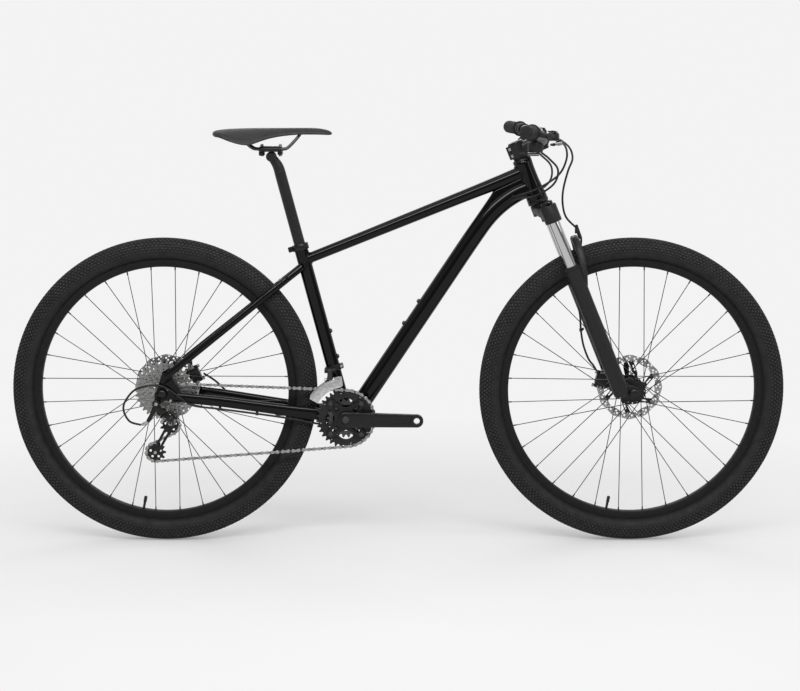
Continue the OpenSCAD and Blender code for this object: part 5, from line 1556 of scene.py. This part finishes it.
def rear_derailleur():
    hang = joint_at("rd_b_pivot")
    top = joint_at("rd_link_swing")
    low = joint_at("rd_p_level")
    pin = joint_axis("rd_link_swing")
    along = unit(low - top)
    across = np.cross(pin, along)
    basis = (along, across, pin)
    pivot = joint_at("rd_cage_swing")

    def at_y(p, y):
        return vec(p[0], y, p[2])

    knuckle = Solid()
    knuckle.lathe([(8.4, 78.2), (9.5, 79), (9.5, 92.4), (8.2, 94), (5, 94), (4.6, 93), (0.01, 93)],
                  at_y(hang, 0), -Y, 40)
    knuckle.rod(at_y(hang, -90), at_y(hang, -68.2), 4.9, 24)
    knuckle.sweep(spline([at_y(hang, -86.5), vec(-574, -86.5, 334), top + vec(0, -1, 2)], 4),
                  superellipse(1, 1, 3, 28), Y, spline([[6.4, 9], [6.4, 8.4], [7, 7.4]], 4))
    knuckle.sweep(spline([at_y(hang, -86), vec(-588, -86, 322), vec(-598, -86, 304)], 4),
                  superellipse(1, 1, 3, 24), Y, spline([[3.8, 6.6], [3.8, 5.2], [3.8, 5]], 4))
    for z in (-9.5, 9.5):
        knuckle.block(top - 5 * along + z * pin, (20, 11, 4), basis, 0.8, 3)
        knuckle.rod(top + (z - 2) * pin, top + (z + 2) * pin, 5.6, 24, 0.6)
    knuckle.piece("rd_b_knuckle", POLISHED, "rd_b_knuckle", "black_alloy", "rd_b_knuckle")
    barrel = Solid()
    down = unit(vec(-17.5, 0, -6.5))
    barrel.lathe([(3.4, 0), (4, 0.6), (4, 13), (3.2, 16), (2.6, 18.5)], vec(-597, -86, 302),
                 down, 24)
    for a in ring_angles(12):
        off = 3.9 * (math.cos(a) * Y + math.sin(a) * np.cross(down, Y))
        barrel.rod(vec(-599, -86, 301.3) + off, vec(-607, -86, 298.3) + off, 0.6, 6)
    for p, n in ((at_y(hang, -93.2), -Y), (top - 11.6 * pin, -pin), (top + 11.6 * pin, pin)):
        barrel.hex_bolt(p, n, 4.2 if n is not pin else 2.6, 1.4)
    barrel.piece("rd_barrel", STEEL, "rd_b_knuckle", "drive_steel")
    links = Solid()
    length = np.linalg.norm(low - top)
    links.block((top + low) / 2 + 0.6 * across, (length, 7.6, 13.6), basis, 1.6, 3)
    for p in (top, low):
        links.rod(p - 7.1 * pin, p + 7.1 * pin, 4.9, 24, 0.5)
    links.block((top + low) / 2 + 4.6 * across, (length - 12, 2.2, 9), basis, 0.9, 3)
    links.piece("rd_links", ALLOY, "rd_links", "black_alloy", "rd_links")
    body = Solid()
    body.lathe([(9.6, 62.7), (10.5, 63.6), (10.5, 90), (9.8, 101), (8.4, 107), (5, 108),
                (0.01, 108)], at_y(pivot, 0), -Y, 44)
    for z in (-9.5, 9.5):
        body.block(low + 4.6 * along + z * pin, (18, 11, 4), basis, 0.8, 3)
        body.rod(low + (z - 2) * pin, low + (z + 2) * pin, 5.6, 24, 0.6)
    body.piece("rd_p_knuckle", POLISHED, "rd_p_knuckle", "black_alloy", "rd_p_knuckle")
    clamp = Solid()
    clamp.hex_bolt(at_y(pivot, -107.4), -Y, 4.8, 1.6)
    for z in (-11.6, 11.6):
        clamp.hex_bolt(low + z * pin, math.copysign(1, z) * pin, 2.6, 1.2)
    clamp.piece("rd_pivot_bolts", STEEL, "rd_p_knuckle", "drive_steel")
    g, t, p = xz(GUIDE), xz(TENSION), xz(pivot)
    cage = []
    middle = (g + t) / 2
    u = unit(t - g)
    w = vec(-u[1], u[0])
    hole = [tuple(middle + a * u + b * w)
            for a, b in ((-19, -2.6), (19, -2.2), (20.6, 0), (19, 2.2), (-19, 2.6), (-20.6, 0))]
    for y in (-60.8, -47.2):
        cage.append(plate("cage", [link_outline(g, t, 9, 8, 20), hole], y, 1.6, POLISHED, 0.3, 2))
        cage.append(plate("cage_top", [link_outline(g, p, 11, 9, 20)], y, 1.5, POLISHED, 0.3, 2))
    pins = Solid()
    for q in (g, t):
        pins.rod(at_depth(q, -61.6), at_depth(q, -46.4), 2.5, 16)
    pins.rod(at_depth(p, -69), at_depth(p, -61), 3.9, 20)
    cage.append(pins.build("pins", POLISHED))
    piece(join("rd_cage", cage), "rd_cage", "black_alloy", "rd_cage")
    heads = Solid()
    for q in (g, t):
        heads.hex_bolt(at_depth(q, -61.4), -Y, 3.8, 1.8)
        heads.hex_bolt(at_depth(q, -46.6), Y, 3.4, 1.0)
    heads.piece("pulley_bolts", STEEL, "rd_cage", "drive_steel")
    for name, q in (("guide_pulley", g), ("tension_pulley", t)):
        wheel = plate(name, [gear_outline(q, PULLEY), circle2d(q, 2.6, 20)]
                      + holes_round(q, 12.4, 5, 2.9, 0.3, 16), CHAIN_Y, 2.0, SOFT_PLASTIC, 0.3, 2)
        hub = Solid()
        hub.pipe(at_depth(q, CHAIN_Y - 3.3), at_depth(q, CHAIN_Y + 3.3), 7, 2.6, 28, 0.5)
        piece(join(name, [wheel, hub.build("hub", SOFT_PLASTIC)]), name, "rubber", name)


# ---------------------------------------------------------------- saddle and post

# Rows of the saddle: [x, half-width, top, thickness at the middle, height of the wing's edge]
SADDLE = [[-442, 28, 991, 9, 985], [-436, 46, 994.5, 15, 984], [-422, 60, 996.8, 18, 980],
          [-400, 70, 998.8, 18, 971], [-372, 73, 1000, 18, 963], [-350, 69, 1000.6, 18, 962.5],
          [-325, 56, 1001, 17, 971], [-305, 45, 1001.2, 16, 977], [-278, 34, 1001.3, 16, 982.5],
          [-240, 25, 1001.3, 15, 986.5], [-203, 21, 1001, 15, 987], [-180, 18, 998.5, 13, 986],
          [-166, 13, 994.5, 10, 985], [-159, 5, 989.5, 5, 985.5]]
RAIL = [[-376, 31, 990], [-370, 30, 977], [-361, 26, 963.5], [-350, 23, 954], [-338, 22, 950],
        [-304, 22, 950], [-272, 22, 950], [-262, 21, 955], [-249, 17, 968], [-237, 12, 982],
        [-231, 10, 992]]


def saddle_point(row, a):
    """A point of the cover at one row, a turning round it from its left wing over its top."""
    x, half, top, thick, edge = row
    c, s = math.cos(a), math.sin(a)
    middle = top - thick / 2
    groove = 2.0 * math.exp(-((c * half) / 9) ** 2) * min(1, half / 45) * max(s, 0)
    rise = math.copysign(thick / 2 * abs(s) ** 0.75, s)
    return [x, half * c, middle - (middle - edge) * abs(c) ** 2.3 + rise - groove]


def saddle_rings(rows, n):
    return [np.array([saddle_point(row, a) for a in ring_angles(n)])[::-1] for row in rows]


def saddle():
    rows = spline(SADDLE, 8)
    cover = Solid().loft(saddle_rings(rows, 96)).build("saddle_cover", LEATHER, angle=80)
    piece(cover, "saddle", "saddle_cover", "saddle")
    seam = Solid()
    for a in (0.5, math.pi - 0.5):
        seam.tube(np.array([saddle_point(row, a) for row in rows[8:-9]]), 0.8, 8)
    seam.piece("saddle_seam", LEATHER, "saddle", "saddle_cover", angle=80)
    shell = [[x, half * 0.93, top - 0.4 * thick - 1.6, 0.6 * thick, edge + 0.4]
             for x, half, top, thick, edge in rows[5:-8]]
    Solid().loft(saddle_rings(shell, 64)).piece("saddle_base", SOFT_PLASTIC, "saddle", "rubber",
                                                angle=60)
    rails = Solid()
    for hand in (1, -1):
        rails.tube(spline(RAIL, 6) * vec(1, hand, 1), 3.5, 20)
    rails.piece("saddle_rails", DARK_STEEL, "saddle", "black_alloy", angle=60)
    jaws = Solid()
    jaws.block(vec(-305, 0, 946.8), (58, 56, 5.4), AXES, 1, 5, 32)
    jaws.block(vec(-304, 0, 953.2), (52, 56, 5.4), AXES, 1, 5, 32)
    jaws.block(vec(-326.7, 0, 939.2), (14, 38, 10), AXES, 1.4, 4, 24)
    jaws.block(vec(-282.5, 0, 940.2), (12.5, 38, 8), AXES, 1.4, 4, 24)
    for hand in (1, -1):
        jaws.pipe(vec(-331, 22 * hand, 950), vec(-279, 22 * hand, 950), 6.4, 3.55, 32, 0.6)
    jaws.piece("saddle_jaws", ALLOY, "saddle", "black_alloy")
    bolts = Solid()
    for x in (-326, -282):
        bolts.rod(vec(x, 0, 938), vec(x, 0, 960), 2.6, 16)
        bolts.hex_bolt(vec(x, 0, 935.5), -Z, 4.2, 3.0)
        bolts.rod(vec(x, -9, 958), vec(x, 9, 958), 4, 20, 0.5)
    bolts.piece("saddle_bolts", STEEL, "saddle", "drive_steel")
    post = Solid()
    post.lathe([(11.2, 325), (13.6, 325), (13.6, 606), (13.2, 612), (11, 617), (0.01, 617)], BB,
               SEAT_UP, 56)
    post.sweep(spline([seat(598), seat(616), vec(-291, 0, 914), vec(-301, 0, 928)], 4),
               superellipse(1, 1, 2.4, 36), Y,
               spline([[13.6, 13.6], [13, 13.2], [12.4, 12.4], [13, 10.6]], 4))
    post.lathe([(9.4, -19), (11.2, -18.6), (12, -17.6), (12, 17.6), (11.2, 18.6), (9.4, 19)],
               vec(-304, 0, 932), Y, 48)
    post.piece("seatpost", ALLOY, "seatpost", "black_alloy", "seatpost")


# ---------------------------------------------------------------- floor, light and camera


def floor_look():
    """Pale floor that catches shadows near the bike and fades evenly into the backdrop."""
    m = Look("pale_floor", grey(0.69), 0.9, Specular_IOR_Level=0.0)
    m.colour_by(m.noise(2, 2), grey(0.68), grey(0.7))
    glow = m.node("ShaderNodeEmission", Strength=1.0)
    glow.inputs["Color"].default_value = (*grey(BACKDROP), 1)
    reach = m.node("ShaderNodeVectorMath", operation="LENGTH")
    m.wire(m.place, reach.inputs[0])
    mix = m.node("ShaderNodeMixShader")
    m.wire(m.ranged(reach.outputs["Value"], 0.25, 1.0, 0.5, 1.9), mix.inputs["Fac"])
    m.wire(m.shader.outputs["BSDF"], mix.inputs[1])
    m.wire(glow.outputs["Emission"], mix.inputs[2])
    m.wire(mix.outputs["Shader"], m.tree.nodes["Material Output"].inputs["Surface"])
    return m.material


BACKDROP = 0.896  # brightness behind the bike
PANEL = 0.4  # brightness of the soft panel that the frame's tubes mirror
FOCAL = 93.645
FLOOR = 14  # half the floor's width, in metres


def studio_world():
    """A bright backdrop behind the bike and a tall soft panel in front of it, above the floor."""
    world = bpy.data.worlds.new("studio")
    world.use_nodes = True
    tree = world.node_tree
    place = tree.nodes.new("ShaderNodeTexCoord")
    split = tree.nodes.new("ShaderNodeSeparateXYZ")
    tree.links.new(place.outputs["Generated"], split.inputs["Vector"])

    def step(axis, start, end, low, high):
        ramp = tree.nodes.new("ShaderNodeMapRange")
        ramp.interpolation_type = "SMOOTHSTEP"
        ramp.inputs["From Min"].default_value, ramp.inputs["From Max"].default_value = start, end
        ramp.inputs["To Min"].default_value, ramp.inputs["To Max"].default_value = low, high
        tree.links.new(split.outputs[axis], ramp.inputs["Value"])
        return ramp.outputs["Result"]

    def both(operation, a, b):
        node = tree.nodes.new("ShaderNodeMath")
        node.operation = operation
        tree.links.new(a, node.inputs[0])
        tree.links.new(b, node.inputs[1])
        return node.outputs["Value"]

    panel = both("MULTIPLY", step("Y", -0.05, -0.45, 0, PANEL), step("Z", 0.12, 0.42, 0, 1))
    panel = both("MULTIPLY", panel, step("Z", 0.86, 0.98, 1, 0.3))
    room = both("ADD", step("Y", -0.5, 0.5, 0.2, BACKDROP), panel)
    tree.links.new(room, tree.nodes["Background"].inputs["Color"])
    SCENE.world = world


def stage():
    floor = bpy.data.meshes.new("floor")
    floor.from_pydata([(FLOOR * x, FLOOR * y, 0) for x, y in ((-1, -1), (1, -1), (1, 1), (-1, 1))],
                      [], [(0, 1, 2, 3)])
    floor.materials.append(floor_look())
    floor_obj = bpy.data.objects.new("floor", floor)
    SCENE.collection.objects.link(floor_obj)
    for name, place, turn, size, power in (
            ("soft_top", (0.0, -0.5, 2.9), (10, 0, 0), (3.6, 0.9), 14),
            ("soft_front", (0.0, -2.6, 2.7), (51, 0, 0), (3.6, 0.8), 84),
            ("soft_side", (3.2, -1.6, 1.9), (62, 0, 64), (1.2, 1.2), 10),
            ("soft_back", (0.6, 3.4, 2.4), (-56, 0, 0), (2.4, 0.9), 26)):
        light = bpy.data.lights.new(name, "AREA")
        light.shape, light.size, light.size_y, light.energy = "RECTANGLE", size[0], size[1], power
        lamp = bpy.data.objects.new(name, light)
        lamp.location = place
        lamp.rotation_euler = [math.radians(a) for a in turn]
        SCENE.collection.objects.link(lamp)
    studio_world()
    SCENE.view_settings.view_transform = "Standard"
    lens = bpy.data.cameras.new("camera")
    lens.lens, lens.sensor_width = FOCAL, 36
    camera = bpy.data.objects.new("camera", lens)
    camera.location = (0.004, -5.0, 1.09)
    camera.rotation_euler = (math.radians(83), 0, 0)
    SCENE.collection.objects.link(camera)
    SCENE.camera = camera


wheels()
frame_tubes()
dropouts()
bottle_bolts()
cable_ports()
bearing_cups()
seat_clamp()
frame_cables()
brakes()
fork_crown()
fork_knob()
lowers()
bar_and_stem()
grips()
brake_controls()
shifters()
bar_cables()
cassette()
chainrings()
crank()
chain()
front_derailleur()
rear_derailleur()
saddle()
stage()
